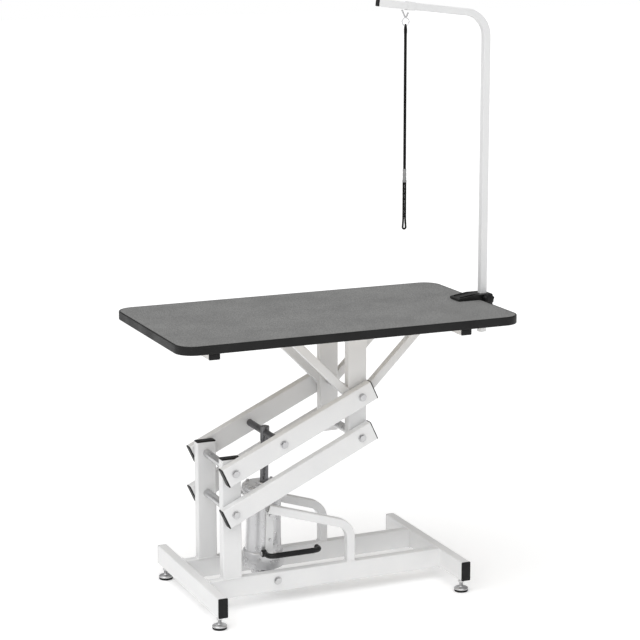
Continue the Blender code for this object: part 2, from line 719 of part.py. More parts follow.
def build_pedal():
    """A bent black bar: a hub on the pin, a leg, the tread and a return."""
    z = PEDAL_HEIGHT
    left_bend = Vector((PEDAL_LEFT + PEDAL_BEND, PEDAL_FRONT + PEDAL_BEND))
    right_bend = Vector((PEDAL_RIGHT - PEDAL_BEND, PEDAL_FRONT + PEDAL_BEND))
    flat = [Vector((PEDAL_LEFT, PEDAL_PIVOT_Y))]
    flat += arc(left_bend, PEDAL_BEND, math.pi, 1.5 * math.pi, 6)
    flat += arc(right_bend, PEDAL_BEND, 1.5 * math.pi, 2 * math.pi, 6)
    flat.append(Vector((PEDAL_RIGHT, PEDAL_PIVOT_Y - 0.006)))
    pedal = round_bar("foot_pedal", [(p.x, p.y, z) for p in flat], PEDAL_RADIUS, BLACK_PAINT)
    move_origin(pedal, Vector((PEDAL_LEFT, PEDAL_PIVOT_Y, z)))

    hub = rod_cutter("pedal_hub", 0.0110, PEDAL_HUB_LONG)
    bore = rod_cutter("pedal_bore", 0.0043, 0.0400)
    for cutter in (hub, bore):
        cutter.rotation_euler = (0.0, math.pi / 2, 0.0)
        cutter.location = (PEDAL_LEFT - 0.0025, PEDAL_PIVOT_Y, z)
    cut(pedal, hub, "UNION")
    cut(pedal, bore)

    pin = turned("pedal_pin", [
        (0.0, 0.0055), (0.0040, 0.0055), (0.0040, -0.0093), (0.0075, -0.0093),
        (0.0075, -0.0120), (0.0060, -0.0135), (0.0, -0.0135),
    ], ZINC, steps=ROUND)
    pin.rotation_euler = (0.0, math.pi / 2, 0.0)
    pin.location = (PEDAL_LEFT, PEDAL_PIVOT_Y, z)


# Grooming arm and clamp --------------------------------------------------

def build_clamp():
    """C-shaped clamp: jaw over the top, socket outside the edge, jaw below."""
    seat = TOP_HEIGHT + 0.0004 + GAP
    wall_x = TOP_RIGHT + GAP
    jaw_top = CLAMP_UNDER + CLAMP_PLATE
    side = [
        (CLAMP_TIP, seat), (wall_x, seat), (wall_x, jaw_top), (CLAMP_TIP, jaw_top),
        (CLAMP_TIP, CLAMP_UNDER), (CLAMP_OUT, CLAMP_UNDER), (CLAMP_OUT, CLAMP_TOP - 0.004),
        (CLAMP_OUT - 0.004, CLAMP_TOP), (CLAMP_OUT - 0.060, CLAMP_TOP),
        (CLAMP_TIP + 0.004, CLAMP_TOP - 0.006), (CLAMP_TIP, CLAMP_TOP - 0.009),
    ]
    clamp = outline("arm_clamp", [side], CLAMP_WIDE, BLACK_PAINT)
    clamp.rotation_euler = (math.pi / 2, 0.0, 0.0)
    clamp.location.y = POLE_Y

    half = POLE / 2 + GAP
    low = (POLE_X - half, POLE_Y - half, CLAMP_UNDER - 0.020)
    high = (POLE_X + half, POLE_Y + half, CLAMP_TOP + 0.020)
    cut(clamp, as_cutter(box("pole_hole", low, high, GREY_STEEL)))
    screw_hole = rod_cutter("screw_hole", SCREW_RADIUS + 0.0004, 0.030)
    screw_hole.location = (SCREW_X, POLE_Y, CLAMP_UNDER + CLAMP_PLATE / 2)
    cut(clamp, screw_hole)

    knob_top = CLAMP_UNDER - 0.014
    screw = turned("clamp_screw", [
        (0.0, TOP_UNDER - GAP), (0.0110, TOP_UNDER - GAP), (0.0110, TOP_UNDER - 0.0045),
        (SCREW_RADIUS, TOP_UNDER - 0.0065), (SCREW_RADIUS, knob_top),
        (0.0150, knob_top - 0.002), (0.0160, knob_top - 0.005), (0.0160, knob_top - 0.012),
        (0.0150, knob_top - 0.015), (0.0, knob_top - 0.015),
    ], BLACK_PLASTIC, steps=ROUND)
    screw.location = (SCREW_X, POLE_Y, 0.0)

    knob = turned("arm_lock_knob", [
        (0.0, 0.0240), (0.0120, 0.0240), (0.0150, 0.0225), (KNOB_RADIUS, 0.0180),
        (KNOB_RADIUS, 0.0080), (0.0150, 0.0050), (0.0080, 0.0040), (0.0060, GAP), (0.0, GAP),
    ], BLACK_PLASTIC, steps=20)
    knob.rotation_euler = (math.pi / 2, 0.0, 0.0)
    knob.location = (POLE_X, POLE_Y - CLAMP_WIDE / 2, LOCK_Z)


def build_grooming_arm():
    turn = math.pi / 2 - BOOM_RISE
    tangent = BOOM_BEND * math.tan(turn / 2)
    boom = (POLE_X - BOOM_END_X) / math.cos(BOOM_RISE) - tangent
    start = Vector((POLE_X, POLE_Y, POLE_FOOT))
    runs = [POLE_TOP - tangent - POLE_FOOT, (BOOM_BEND, turn), boom]
    arm, end, heading = bent_sleeve("grooming_arm", POLE, POLE_WALL, start, runs, WHITE_PAINT)
    plug("arm_end_plug", end, heading, POLE, POLE)

    along = Vector((EYE_X - POLE_X, 0.0, 0.0))
    rise = -along.x * math.tan(BOOM_RISE)
    place = Vector((EYE_X, POLE_Y, POLE_TOP + rise))
    eye_sleeve = sleeve("arm_eye", POLE + 0.005, POLE + 0.005, EYE_LENGTH, ZINC, wall=0.0022)
    eye_sleeve.rotation_euler = (0.0, -(math.pi / 2 - BOOM_RISE), 0.0)
    eye_sleeve.location = place
    return eye_sleeve


def build_leash(eye_sleeve):
    """Hook on the sleeve, and ring, cord, slider and noose hanging from it."""
    eye = eye_sleeve.location
    x, y = eye.x - EYE_LENGTH / 2 - 0.0020, eye.y
    hook_top = eye.z - POLE / 2 - 0.0060
    ring_mid = RING_Z
    hook_low = ring_mid + RING_RADIUS + 0.0040
    root = eye.x - EYE_LENGTH / 4
    hook = [(root, y, eye.z - POLE / 2 - 0.0015), (root, y, hook_top), (x + 0.0045, y, hook_low + 0.0035),
            (x, y, hook_low), (x - 0.0045, y, hook_low + 0.0035), (x - 0.0050, y, hook_low + 0.0075)]
    cut(eye_sleeve, as_cutter(round_bar("leash_hook", hook, 0.0016, ZINC)), "UNION")
    turns = [math.tau * step / 16 for step in range(16)]
    ring = [(x + RING_RADIUS * math.cos(a), y, ring_mid + RING_RADIUS * math.sin(a)) for a in turns]
    round_bar("leash_ring", ring, 0.0015, CHROME, cyclic=True)

    cord_top = ring_mid - RING_RADIUS - 0.0015 - GAP
    reach = cord_top - SLIDER_TOP - GAP
    steps = round(reach / 0.025)
    cord = [(x, y, cord_top - reach * step / steps) for step in range(steps + 1)]
    round_bar("leash_cord", cord, CORD_RADIUS, CORD_BLACK)

    slider = turned("leash_slider", [
        (0.0, SLIDER_TOP), (0.0045, SLIDER_TOP), (0.0056, SLIDER_TOP - 0.002),
        (0.0056, SLIDER_UNDER + 0.002), (0.0045, SLIDER_UNDER), (0.0, SLIDER_UNDER),
    ], CHROME, steps=12)
    slider.location = (x, y, 0.0)
    round_bar("leash_noose", noose_path(x, y), LOOP_RADIUS, CORD_BLACK)
    joint_at("leash_pivot", Vector((x, y, hook_low)), pieces_named("leash_"))


def noose_path(x, y):
    """Both strands of the closed noose, down to a small round eye and back."""
    top = SLIDER_UNDER - GAP
    neck = LEASH_END + 0.045
    centre = Vector((0.0, LEASH_END + LOOP_RADIUS + NOOSE_EYE))
    down = [Vector((-NOOSE_HALF, top + (neck - top) * step / 6)) for step in range(7)]
    bulb = arc(centre, NOOSE_EYE, math.radians(170), math.radians(370), 10)
    flat = down + bulb + [Vector((-p.x, p.y)) for p in reversed(down)]
    return [(x + p.x, y, p.y) for p in flat]


def hang_moving_pieces():
    """Arms and table frame on empties at the pivots they turn about."""
    joint_at("lower_arm_pivot", Vector((POST_X, 0.0, LOW_PIVOT)), pieces_named("lower_arm"))
    upper = pieces_named("upper_arm", "lift_crossbar")
    joint_at("upper_arm_pivot", Vector((POST_X, 0.0, HIGH_PIVOT)), upper)
    frame = pieces_named("upper_post", "top_rail", "brace", "cross_rail", "rail_plug", "tabletop",
                         "edge_band", "lower_right_shaft", "upper_right_shaft", "arm_clamp")
    joint_at("table_pivot", Vector((UPPER_X, 0.0, HIGH_PIVOT + LINK_RISE)), frame)
    pole = pieces_named("grooming_arm", "arm_end_plug")
    joint_at("pole_slide", Vector((POLE_X, POLE_Y, POLE_FOOT)), pole)


def build_all():
    build_base()
    build_shafts()
    build_arms()
    build_upper_frame()
    build_top()
    build_pump()
    build_pedal()
    build_clamp()
    eye_sleeve = build_grooming_arm()
    build_leash(eye_sleeve)
    hang_moving_pieces()


build_all()
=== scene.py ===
"""Looks of a hydraulic Z-lift grooming table, built around its CAD frame."""
import math

import bmesh
import bpy
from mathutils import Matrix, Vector


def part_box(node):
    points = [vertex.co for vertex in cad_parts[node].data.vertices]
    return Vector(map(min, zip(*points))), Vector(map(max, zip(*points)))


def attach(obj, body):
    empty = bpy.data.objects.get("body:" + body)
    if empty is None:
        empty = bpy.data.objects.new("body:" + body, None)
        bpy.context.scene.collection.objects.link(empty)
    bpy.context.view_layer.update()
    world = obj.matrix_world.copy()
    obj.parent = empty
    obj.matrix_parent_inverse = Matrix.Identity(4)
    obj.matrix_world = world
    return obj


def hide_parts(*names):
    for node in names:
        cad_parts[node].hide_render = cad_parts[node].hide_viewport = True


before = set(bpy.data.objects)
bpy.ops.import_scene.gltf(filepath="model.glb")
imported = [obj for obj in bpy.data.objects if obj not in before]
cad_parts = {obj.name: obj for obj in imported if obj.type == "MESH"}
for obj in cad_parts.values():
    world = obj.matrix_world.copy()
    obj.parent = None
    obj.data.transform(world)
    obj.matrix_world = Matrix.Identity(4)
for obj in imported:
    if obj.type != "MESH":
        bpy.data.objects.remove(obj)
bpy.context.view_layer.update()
scene = bpy.context.scene


# Camera -------------------------------------------------------------------
# A long lens a little above the table top, in front of the leg end, looking
# down along the top. Hardly any shift, and no depth of field.
camera = bpy.data.objects.new("camera", bpy.data.cameras.new("camera"))
scene.collection.objects.link(camera)
scene.camera = camera
CAMERA_PITCH = 11.486
CAMERA_YAW = 24.053
camera.location = (-2.3143, -5.281, 2.0514)
camera.rotation_euler = (math.radians(90 - CAMERA_PITCH), 0.0, -math.radians(CAMERA_YAW))
camera.data.lens = 110.14
camera.data.shift_x = -0.025
camera.data.shift_y = -0.025
camera.data.sensor_width = 36.0
camera.data.clip_end = 60.0


# Leash --------------------------------------------------------------------
# One braided black cord hangs from a chrome ring, is gripped by a small metal
# slider, and returns to it as a narrow closed noose with a round eye below.
LEASH_X = 0.2665
LEASH_Y = -0.006
RING_MIDDLE = 1.7145
RING_RADIUS = 0.0115
RING_WIRE = 0.0015
CORD_TOP = 1.7012
CORD_END = 1.2748
CORD_RADIUS = 0.0044
NOOSE_TOP = 1.2402
NOOSE_LOWEST = 1.089
NOOSE_RADIUS = 0.003
NOOSE_HALF_GAP = 0.0033
NOOSE_EYE_RADIUS = 0.0052


def new_group(name, inputs, outputs):
    """A shader node group with named inputs and outputs, and its two end nodes."""
    group = bpy.data.node_groups.new(name, "ShaderNodeTree")
    for label, kind, value in inputs:
        socket = group.interface.new_socket(label, in_out="INPUT", socket_type=kind)
        if value is not None:
            socket.default_value = value
    for label, kind in outputs:
        group.interface.new_socket(label, in_out="OUTPUT", socket_type=kind)
    return group, group.nodes.new("NodeGroupInput"), group.nodes.new("NodeGroupOutput")


def add_node(tree, kind, settings=None, values=None):
    """A node with its properties set, and some of its inputs given values."""
    made = tree.nodes.new(kind)
    for key, value in (settings or {}).items():
        setattr(made, key, value)
    for key, value in (values or {}).items():
        made.inputs[key].default_value = value
    return made


def wire(tree, *links):
    """Links, each as (from node, its output, to node, its input)."""
    for source, output, target, socket in links:
        tree.links.new(source.outputs[output], target.inputs[socket])


FLOAT = "NodeSocketFloat"
VECTOR = "NodeSocketVector"

# Mottle: a soft change of shade and gloss over a surface, with a fine grain in its relief.
mottle, mottle_in, mottle_out = new_group("mottle_and_grain", [
    ("Coordinates", VECTOR, None), ("Patch Scale", FLOAT, 9.0), ("Grain Scale", FLOAT, 900.0),
    ("Relief", FLOAT, 0.1), ("Roughness Low", FLOAT, 0.35), ("Roughness High", FLOAT, 0.5),
], [("Shade", FLOAT), ("Roughness", FLOAT), ("Normal", VECTOR)])
patch = add_node(mottle, "ShaderNodeTexNoise", values={"Detail": 5.0, "Roughness": 0.6})
grain = add_node(mottle, "ShaderNodeTexNoise", values={"Detail": 2.0, "Roughness": 0.5})
spread = add_node(mottle, "ShaderNodeMapRange", values={"From Min": 0.3, "From Max": 0.7})
gloss = add_node(mottle, "ShaderNodeMapRange", values={"From Min": 0.3, "From Max": 0.7})
relief = add_node(mottle, "ShaderNodeBump", values={"Distance": 0.0004})
wire(
    mottle,
    (mottle_in, "Coordinates", patch, "Vector"), (mottle_in, "Coordinates", grain, "Vector"),
    (mottle_in, "Patch Scale", patch, "Scale"), (mottle_in, "Grain Scale", grain, "Scale"),
    (patch, "Fac", spread, "Value"), (patch, "Fac", gloss, "Value"),
    (mottle_in, "Roughness Low", gloss, "To Min"), (mottle_in, "Roughness High", gloss, "To Max"),
    (grain, "Fac", relief, "Height"), (mottle_in, "Relief", relief, "Strength"),
    (spread, "Result", mottle_out, "Shade"), (gloss, "Result", mottle_out, "Roughness"),
    (relief, "Normal", mottle_out, "Normal"))


def finish_material(name, low, high, patch_scale, grain_scale, bumps, gloss_range, extra=None):
    """A finish made of the mottle group: two shades, its grain and gloss."""
    material = bpy.data.materials.new(name)
    material.use_nodes = True
    tree = material.node_tree
    shader = tree.nodes["Principled BSDF"]
    for key, value in (extra or {}).items():
        shader.inputs[key].default_value = value
    where = add_node(tree, "ShaderNodeTexCoord")
    effect = add_node(tree, "ShaderNodeGroup", {"node_tree": mottle}, {
        "Patch Scale": patch_scale, "Grain Scale": grain_scale, "Relief": bumps,
        "Roughness Low": gloss_range[0], "Roughness High": gloss_range[1]})
    blend = add_node(tree, "ShaderNodeMix", {"data_type": "RGBA"}, {"A": (*low, 1.0), "B": (*high, 1.0)})
    wire(tree, (where, "Object", effect, "Coordinates"), (effect, "Roughness", shader, "Roughness"),
         (effect, "Normal", shader, "Normal"), (effect, "Shade", blend, "Factor"),
         (blend, "Result", shader, "Base Color"))
    return material


braided_cord = finish_material(
    "braided_cord", (0.004, 0.004, 0.004), (0.01, 0.01, 0.01),
    220.0, 2600.0, 0.5, (0.7, 0.95), {"Specular IOR Level": 0.15})
polished_chrome = finish_material(
    "polished_chrome", (0.66, 0.66, 0.68), (0.8, 0.8, 0.81),
    60.0, 1500.0, 0.03, (0.1, 0.24), {"Metallic": 1.0})
dull_nickel = finish_material(
    "dull_nickel", (0.24, 0.24, 0.245), (0.36, 0.36, 0.36),
    120.0, 1500.0, 0.08, (0.32, 0.48), {"Metallic": 0.9})


def place(name, bm, material, body, *nodes, angle=35.0):
    """Turn a bmesh into a finished piece that rides on a body."""
    bmesh.ops.recalc_face_normals(bm, faces=bm.faces)
    mesh = bpy.data.meshes.new(name)
    bm.to_mesh(mesh)
    bm.free()
    return place_mesh(name, mesh, material, body, *nodes, angle=angle)


def place_mesh(name, mesh, material, body, *nodes, angle=35.0):
    """Give a mesh its material, shading, body, and the CAD nodes that it replaces."""
    mesh.materials.clear()
    mesh.materials.append(material)
    mesh.shade_smooth()
    mesh.set_sharp_from_angle(angle=math.radians(angle))
    piece = bpy.data.objects.new(name, mesh)
    scene.collection.objects.link(piece)
    even = piece.modifiers.new("even_shading", "WEIGHTED_NORMAL")
    even.keep_sharp = True
    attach(piece, body)
    if nodes:
        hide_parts(*nodes)
    return piece


def ring_of(bm, centre, across, upward, radii):
    """One ring of vertices about a centre, with a radius for each of them."""
    count = len(radii)
    return [
        bm.verts.new(centre + (across * math.cos(math.tau * i / count)
                               + upward * math.sin(math.tau * i / count)) * radii[i])
        for i in range(count)
    ]


def skin(bm, rings, closed=True):
    """Quads between each ring and the next."""
    for near, far in zip(rings, rings[1:]):
        count = len(near)
        for i in range(count if closed else count - 1):
            j = (i + 1) % count
            bm.faces.new((near[i], near[j], far[j], far[i]))


def round_rod(bm, path, radius, sides=16, cyclic=False, relief=None):
    """A round rod or cord along a path that lies in one upright plane or is straight."""
    path = [Vector(p) for p in path]
    rings = []
    count = len(path)
    flat = Vector((0.0, 1.0, 0.0))
    tangents = []
    for i in range(count):
        before = path[i - 1] if cyclic or i else path[i]
        after = path[(i + 1) % count] if cyclic or i < count - 1 else path[i]
        tangents.append((after - before).normalized())
    if all(abs(t.y) > 0.05 or abs(t.z) < 0.001 for t in tangents):
        flat = Vector((0.0, 0.0, 1.0))
    travelled = 0.0
    for i in range(count):
        if i:
            travelled += (path[i] - path[i - 1]).length
        across = flat.cross(tangents[i]).normalized()
        radii = [radius * (1 + (relief(travelled, k / sides) if relief else 0)) for k in range(sides)]
        rings.append(ring_of(bm, path[i], across, flat, radii))
    skin(bm, rings)
    if cyclic:
        skin(bm, [rings[-1], rings[0]])
    else:
        bm.faces.new(rings[0])
        bm.faces.new(rings[-1])


def arc_points(centre, radius, start, end, steps):
    """Points on an arc in the XZ plane, with angles in degrees."""
    points = []
    for step in range(steps + 1):
        angle = math.radians(start + (end - start) * step / steps)
        points.append((centre[0] + radius * math.cos(angle), centre[1] + radius * math.sin(angle)))
    return points


def plait(travelled, around, strands=6.0, pitch=0.0105, height=0.075):
    """Over-and-under relief of a braid, as a share of the cord's radius."""
    one = around * strands + travelled * strands / 2 / pitch
    other = around * strands - travelled * strands / 2 / pitch
    over = (math.floor(one) + math.floor(other)) % 2 == 0
    share = one % 1.0 if over else other % 1.0
    return height * (math.sin(math.pi * share) - 1.0)


# The ring in the hook, and the cord's end whipped round it
ring = bmesh.new()
circle = arc_points((LEASH_X, RING_MIDDLE), RING_RADIUS, 0, 360, 48)[:-1]
round_rod(ring, [(x, LEASH_Y, z) for x, z in circle], RING_WIRE, 12, cyclic=True)
place("leash_ring_wire", ring, polished_chrome, "leash", "leash_ring", angle=60)

wrap = bmesh.new()
turn = arc_points((LEASH_Y, RING_MIDDLE - RING_RADIUS), 0.0037, 0, 360, 24)[:-1]
rings = []
for y, z in turn:
    away = Vector((0.0, y - LEASH_Y, z - RING_MIDDLE + RING_RADIUS)).normalized()
    middle = Vector((LEASH_X, y, z))
    rings.append(ring_of(wrap, middle, Vector((1.0, 0.0, 0.0)), away, [0.0019] * 10))
skin(wrap, rings + [rings[0]])
cord_loop = place("leash_end_loop", wrap, braided_cord, "leash", angle=60)


def lathe(bm, profile, centre, axis=(0.0, 0.0, 1.0), steps=48, lobes=0, lobe_depth=0.0):
    """A turned shape: (radius, distance along the axis), closed on the axis at both ends."""
    axis = Vector(axis).normalized()
    helper = Vector((0.0, 1.0, 0.0)) if abs(axis.y) < 0.9 else Vector((1.0, 0.0, 0.0))
    across = helper.cross(axis).normalized()
    upward = axis.cross(across)
    centre = Vector(centre)
    rings = []
    for radius, along in profile:
        if radius < 1e-6:
            rings.append([bm.verts.new(centre + axis * along)])
            continue
        radii = [radius] * steps
        if lobes and radius > lobe_depth * 3:
            radii = [radius - lobe_depth * (0.5 - 0.5 * math.cos(lobes * math.tau * i / steps))
                     for i in range(steps)]
        rings.append(ring_of(bm, centre + axis * along, across, upward, radii))
    for near, far in zip(rings, rings[1:]):
        if len(near) == 1 and len(far) == 1:
            continue
        for i in range(steps):
            j = (i + 1) % steps
            if len(near) == 1:
                bm.faces.new((near[0], far[j], far[i]))
            elif len(far) == 1:
                bm.faces.new((near[i], near[j], far[0]))
            else:
                bm.faces.new((near[i], near[j], far[j], far[i]))


def turned(name, material, body, profile, centre, axis=(0.0, 0.0, 1.0), steps=48, nodes=(),
           angle=30, **lobes):
    """One turned shape as a finished piece."""
    bm = bmesh.new()
    lathe(bm, profile, centre, axis, steps, **lobes)
    return place(name, bm, material, body, *nodes, angle=angle)


WHIPPING_TURNS = 9
WHIPPING_PITCH = 0.0017
profile = [(0.0, 0.0)]
for turn in range(WHIPPING_TURNS):
    low = -turn * WHIPPING_PITCH
    profile += [(0.0046, low), (0.0052, low - 0.0008), (0.0046, low - 0.0016)]
profile.append((0.0, -WHIPPING_TURNS * WHIPPING_PITCH))
cord_whipping = turned("leash_whipping", braided_cord, "leash", profile,
                       (LEASH_X, LEASH_Y, CORD_TOP - 0.006), steps=24, angle=80)

# The slider: a pressed clamp with two crimped grooves
slider_piece = turned("leash_slider_clamp", dull_nickel, "leash", [
    (0.0, 0.034), (0.0046, 0.034), (0.0056, 0.0328), (0.0056, 0.0262), (0.005, 0.025),
    (0.005, 0.0232), (0.0056, 0.022), (0.0056, 0.012), (0.005, 0.0108), (0.005, 0.009),
    (0.0056, 0.0078), (0.0056, 0.0012), (0.0046, 0.0), (0.0, 0.0),
], (LEASH_X, LEASH_Y, NOOSE_TOP + 0.0003), steps=32, nodes=["leash_slider"], angle=35)

# The cord itself, and the noose's two strands and eye
cord_steps = 400
strand = [(LEASH_X, LEASH_Y, CORD_TOP + (CORD_END - CORD_TOP) * i / cord_steps)
          for i in range(cord_steps + 1)]
cord_mesh = bmesh.new()
round_rod(cord_mesh, strand, CORD_RADIUS, 24, relief=plait)
cord = place("leash_cord_braid", cord_mesh, braided_cord, "leash", "leash_cord", angle=80)

eye_middle = (0.0, NOOSE_LOWEST + NOOSE_RADIUS + NOOSE_EYE_RADIUS)
neck = NOOSE_LOWEST + 0.045
entry_angle = 173.4
down = [(-NOOSE_HALF_GAP, NOOSE_TOP + (neck - NOOSE_TOP) * i / 60) for i in range(61)]
entry = arc_points(eye_middle, NOOSE_EYE_RADIUS, entry_angle, 540 - entry_angle, 30)
fall = [(down[-1][0] + (entry[0][0] - down[-1][0]) * (i / 16) ** 2,
         down[-1][1] + (entry[0][1] - down[-1][1]) * i / 16) for i in range(1, 16)]
flat_noose = down + fall + entry + [(-x, z) for x, z in reversed(down + fall)]
noose_path = [(LEASH_X + x, LEASH_Y, z) for x, z in flat_noose]
noose_mesh = bmesh.new()
round_rod(noose_mesh, noose_path, NOOSE_RADIUS, 16,
          relief=lambda travelled, around: plait(travelled, around, 4.0, 0.008, 0.09))
noose = place("leash_noose_braid", noose_mesh, braided_cord, "leash", "leash_noose", angle=80)
noose_ferrule = turned("leash_noose_ferrule", dull_nickel, "leash", [
    (0.0, 0.0), (0.0058, 0.0), (0.0064, -0.0008), (0.0064, -0.0052), (0.0058, -0.006), (0.0, -0.006),
], (LEASH_X, LEASH_Y, NOOSE_TOP + 0.0001), steps=28)


# Floor and light ----------------------------------------------------------
# A plain pale floor, a white surround, and one wide soft lamp from the front
# left. The surround fills the shadows from all sides.
FLOOR_HALF = 30.0
floor_mesh = bpy.data.meshes.new("studio_floor")
FLOOR_Z = -0.0005
corners = [(a * FLOOR_HALF, b * FLOOR_HALF, FLOOR_Z) for a, b in ((-1, -1), (1, -1), (1, 1), (-1, 1))]
floor_mesh.from_pydata(corners, [], [(0, 1, 2, 3)])
studio_floor = bpy.data.objects.new("studio_floor", floor_mesh)
scene.collection.objects.link(studio_floor)
floor_mesh.materials.append(finish_material(
    "pale_floor", (0.9, 0.9, 0.9), (0.92, 0.92, 0.92),
    1.5, 200.0, 0.02, (0.8, 0.9), {"Emission Color": (1.0, 1.0, 1.0, 1.0), "Emission Strength": 0.24}))

world = bpy.data.worlds.new("studio")
scene.world = world
world.use_nodes = True
seen = world.node_tree.nodes.new("ShaderNodeLightPath")
strength = world.node_tree.nodes.new("ShaderNodeMapRange")
strength.inputs["To Min"].default_value = 0.34
strength.inputs["To Max"].default_value = 1.0
background = world.node_tree.nodes["Background"]
background.inputs["Color"].default_value = (1.0, 1.0, 1.0, 1.0)
wire(world.node_tree, (seen, "Is Camera Ray", strength, "Value"),
     (strength, "Result", background, "Strength"))
scene.view_settings.view_transform = "Standard"

lamp = bpy.data.objects.new("soft_lamp", bpy.data.lights.new("soft_lamp", "SUN"))
scene.collection.objects.link(lamp)
lamp.data.energy = 2.45
lamp.data.angle = math.radians(85)
lamp.rotation_euler = Vector((-0.33, -0.27, 0.74)).to_track_quat("Z", "Y").to_euler()


# Base tubes ---------------------------------------------------------------
# 60 x 30 mm steel tube, 2 mm wall, welded into a flat frame: a member across
# each end and two long rails between them. White satin powder coat all over.
WALL = 0.002
white_coat = finish_material(
    "white_powder_coat", (0.765, 0.768, 0.772), (0.815, 0.815, 0.812),
    7.0, 1300.0, 0.16, (0.34, 0.48))


def rounded_section(tall, wide, corner, steps=4):
    """Outline of a rounded rectangle, counter-clockwise."""
    points = []
    for start, sign_a, sign_b in ((0, 1, 1), (90, -1, 1), (180, -1, -1), (270, 1, -1)):
        middle = (sign_a * (tall / 2 - corner), sign_b * (wide / 2 - corner))
        points += arc_points(middle, corner, start, start + 90, steps)
    return points


def sweep_tube(bm, path, side, tall, wide, corner, wall=WALL):
    """A hollow rectangular tube along a path that bends in one plane across `side`."""
    path = [Vector(p) for p in path]
    side = Vector(side).normalized()
    outer = rounded_section(tall, wide, corner)
    inner = rounded_section(tall - 2 * wall, wide - 2 * wall, max(corner - wall, 0.0008))
    shells = []
    for outline in (outer, inner):
        rings = []
        for i, centre in enumerate(path):
            ahead = path[min(i + 1, len(path) - 1)] - path[max(i - 1, 0)]
            up = side.cross(ahead.normalized())
            rings.append([bm.verts.new(centre + up * a + side * b) for a, b in outline])
        skin(bm, rings)
        shells.append(rings)
    for end in (0, -1):
        skin(bm, [shells[0][end], shells[1][end]])


def middle_of(node):
    low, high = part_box(node)
    return (Vector(low) + Vector(high)) / 2


def tube_from_node(node, body, corner=0.004, wall=WALL):
    """A straight tube that fills a CAD tube's box."""
    low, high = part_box(node)
    size = Vector(high) - Vector(low)
    middle = middle_of(node)
    long = max(range(3), key=lambda i: size[i])
    across = [i for i in range(3) if i != long]
    thin = min(across, key=lambda i: size[i])
    tall = max(across, key=lambda i: size[i])
    if size[across[0]] == size[across[1]]:
        thin, tall = across
    start, end = middle.copy(), middle.copy()
    start[long], end[long] = low[long], high[long]
    side = Vector((0.0, 0.0, 0.0))
    side[thin] = 1.0
    bm = bmesh.new()
    sweep_tube(bm, [start, end], side, size[tall], size[thin], corner, wall)
    return place(node + "_tube", bm, white_coat, body, node)


for end in ("left", "right"):
    tube_from_node("cross_member_" + end, "base")
for end in ("front", "back"):
    tube_from_node("base_rail_" + end, "base")


# End plugs ----------------------------------------------------------------
# Black moulded plugs pushed into the open ends of the tubes: a plate with a
# rounded rim and a shallow dome, held by ribs inside the tube.
black_plastic = finish_material(
    "black_moulded_plastic", (0.006, 0.006, 0.0065), (0.014, 0.014, 0.0145),
    30.0, 1800.0, 0.35, (0.42, 0.6), {"Specular IOR Level": 0.22})


def end_plug(bm, centre, outward, side, tall, wide, thick=0.004):
    """Rim, dome and inner shank of one plug; `centre` lies on the tube's end."""
    outward, side = Vector(outward).normalized(), Vector(side).normalized()
    up = side.cross(outward)
    layers = [
        (WALL + 0.0008, 0.0012, -0.01), (WALL + 0.0008, 0.0012, 0.0001), (0.0001, 0.003, 0.0001),
        (0.0001, 0.003, thick * 0.5), (0.0006, 0.003, thick * 0.78), (0.002, 0.003, thick * 0.92),
        (0.005, 0.003, thick),
    ]
    rings = []
    for inset, corner, height in layers:
        outline = rounded_section(tall - 2 * inset, wide - 2 * inset, corner)
        rings.append([bm.verts.new(Vector(centre) + up * a + side * b + outward * height)
                      for a, b in outline])
    skin(bm, rings)
    bm.faces.new(rings[0])
    bm.faces.new(rings[-1])


def plug_from_node(node, body, outward):
    """A plug over the tube end that a CAD plug closes."""
    low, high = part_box(node)
    outward = Vector(outward)
    size = Vector(high) - Vector(low)
    centre = middle_of(node)
    facing = max(range(3), key=lambda i: abs(outward[i]))
    face = high[facing] if outward[facing] > 0 else low[facing]
    centre[facing] = face - outward[facing] * 0.004
    across = sorted((i for i in range(3) if i != facing), key=lambda i: size[i])
    side = Vector((0.0, 0.0, 0.0))
    side[across[0]] = 1.0
    bm = bmesh.new()
    end_plug(bm, centre, outward, side, size[across[1]], size[across[0]])
    return place(node + "_cap", bm, black_plastic, body, node, angle=50)


for sign, end in ((-1.0, "front"), (1.0, "back")):
    for side in ("left", "right"):
        plug_from_node(f"base_plug_{end}_{side}", "base", (0.0, sign, 0.0))
        plug_from_node(f"rail_plug_{end}_{side}", "table_frame", (0.0, sign, 0.0))
    plug_from_node("post_plug_" + end, "base", (0.0, 0.0, 1.0))


# Levelling feet -----------------------------------------------------------
# A zinc-plated threaded stem with a hex adjuster and lock nut, standing in a
# pressed steel disc on a black rubber pad.
zinc = finish_material(
    "zinc_plate", (0.5, 0.5, 0.51), (0.66, 0.66, 0.66),
    55.0, 1400.0, 0.1, (0.24, 0.42), {"Metallic": 1.0})
FOOT_THREAD_PITCH = 0.00125


def drum(radius, half, chamfer=0.001):
    """Profile of a short drum with chamfered rims."""
    return [(0.0, half), (radius - chamfer, half), (radius, half - chamfer),
            (radius, chamfer - half), (radius - chamfer, -half), (0.0, -half)]


def threaded(low, high, radius, pitch=FOOT_THREAD_PITCH):
    """Profile of a thread as stacked ridges, from its top down."""
    points = []
    count = max(1, round((high - low) / pitch))
    for i in range(count):
        top = high - (high - low) * i / count
        points += [(radius * 0.86, top), (radius, top - (high - low) / count / 2)]
    points.append((radius * 0.86, low))
    return points


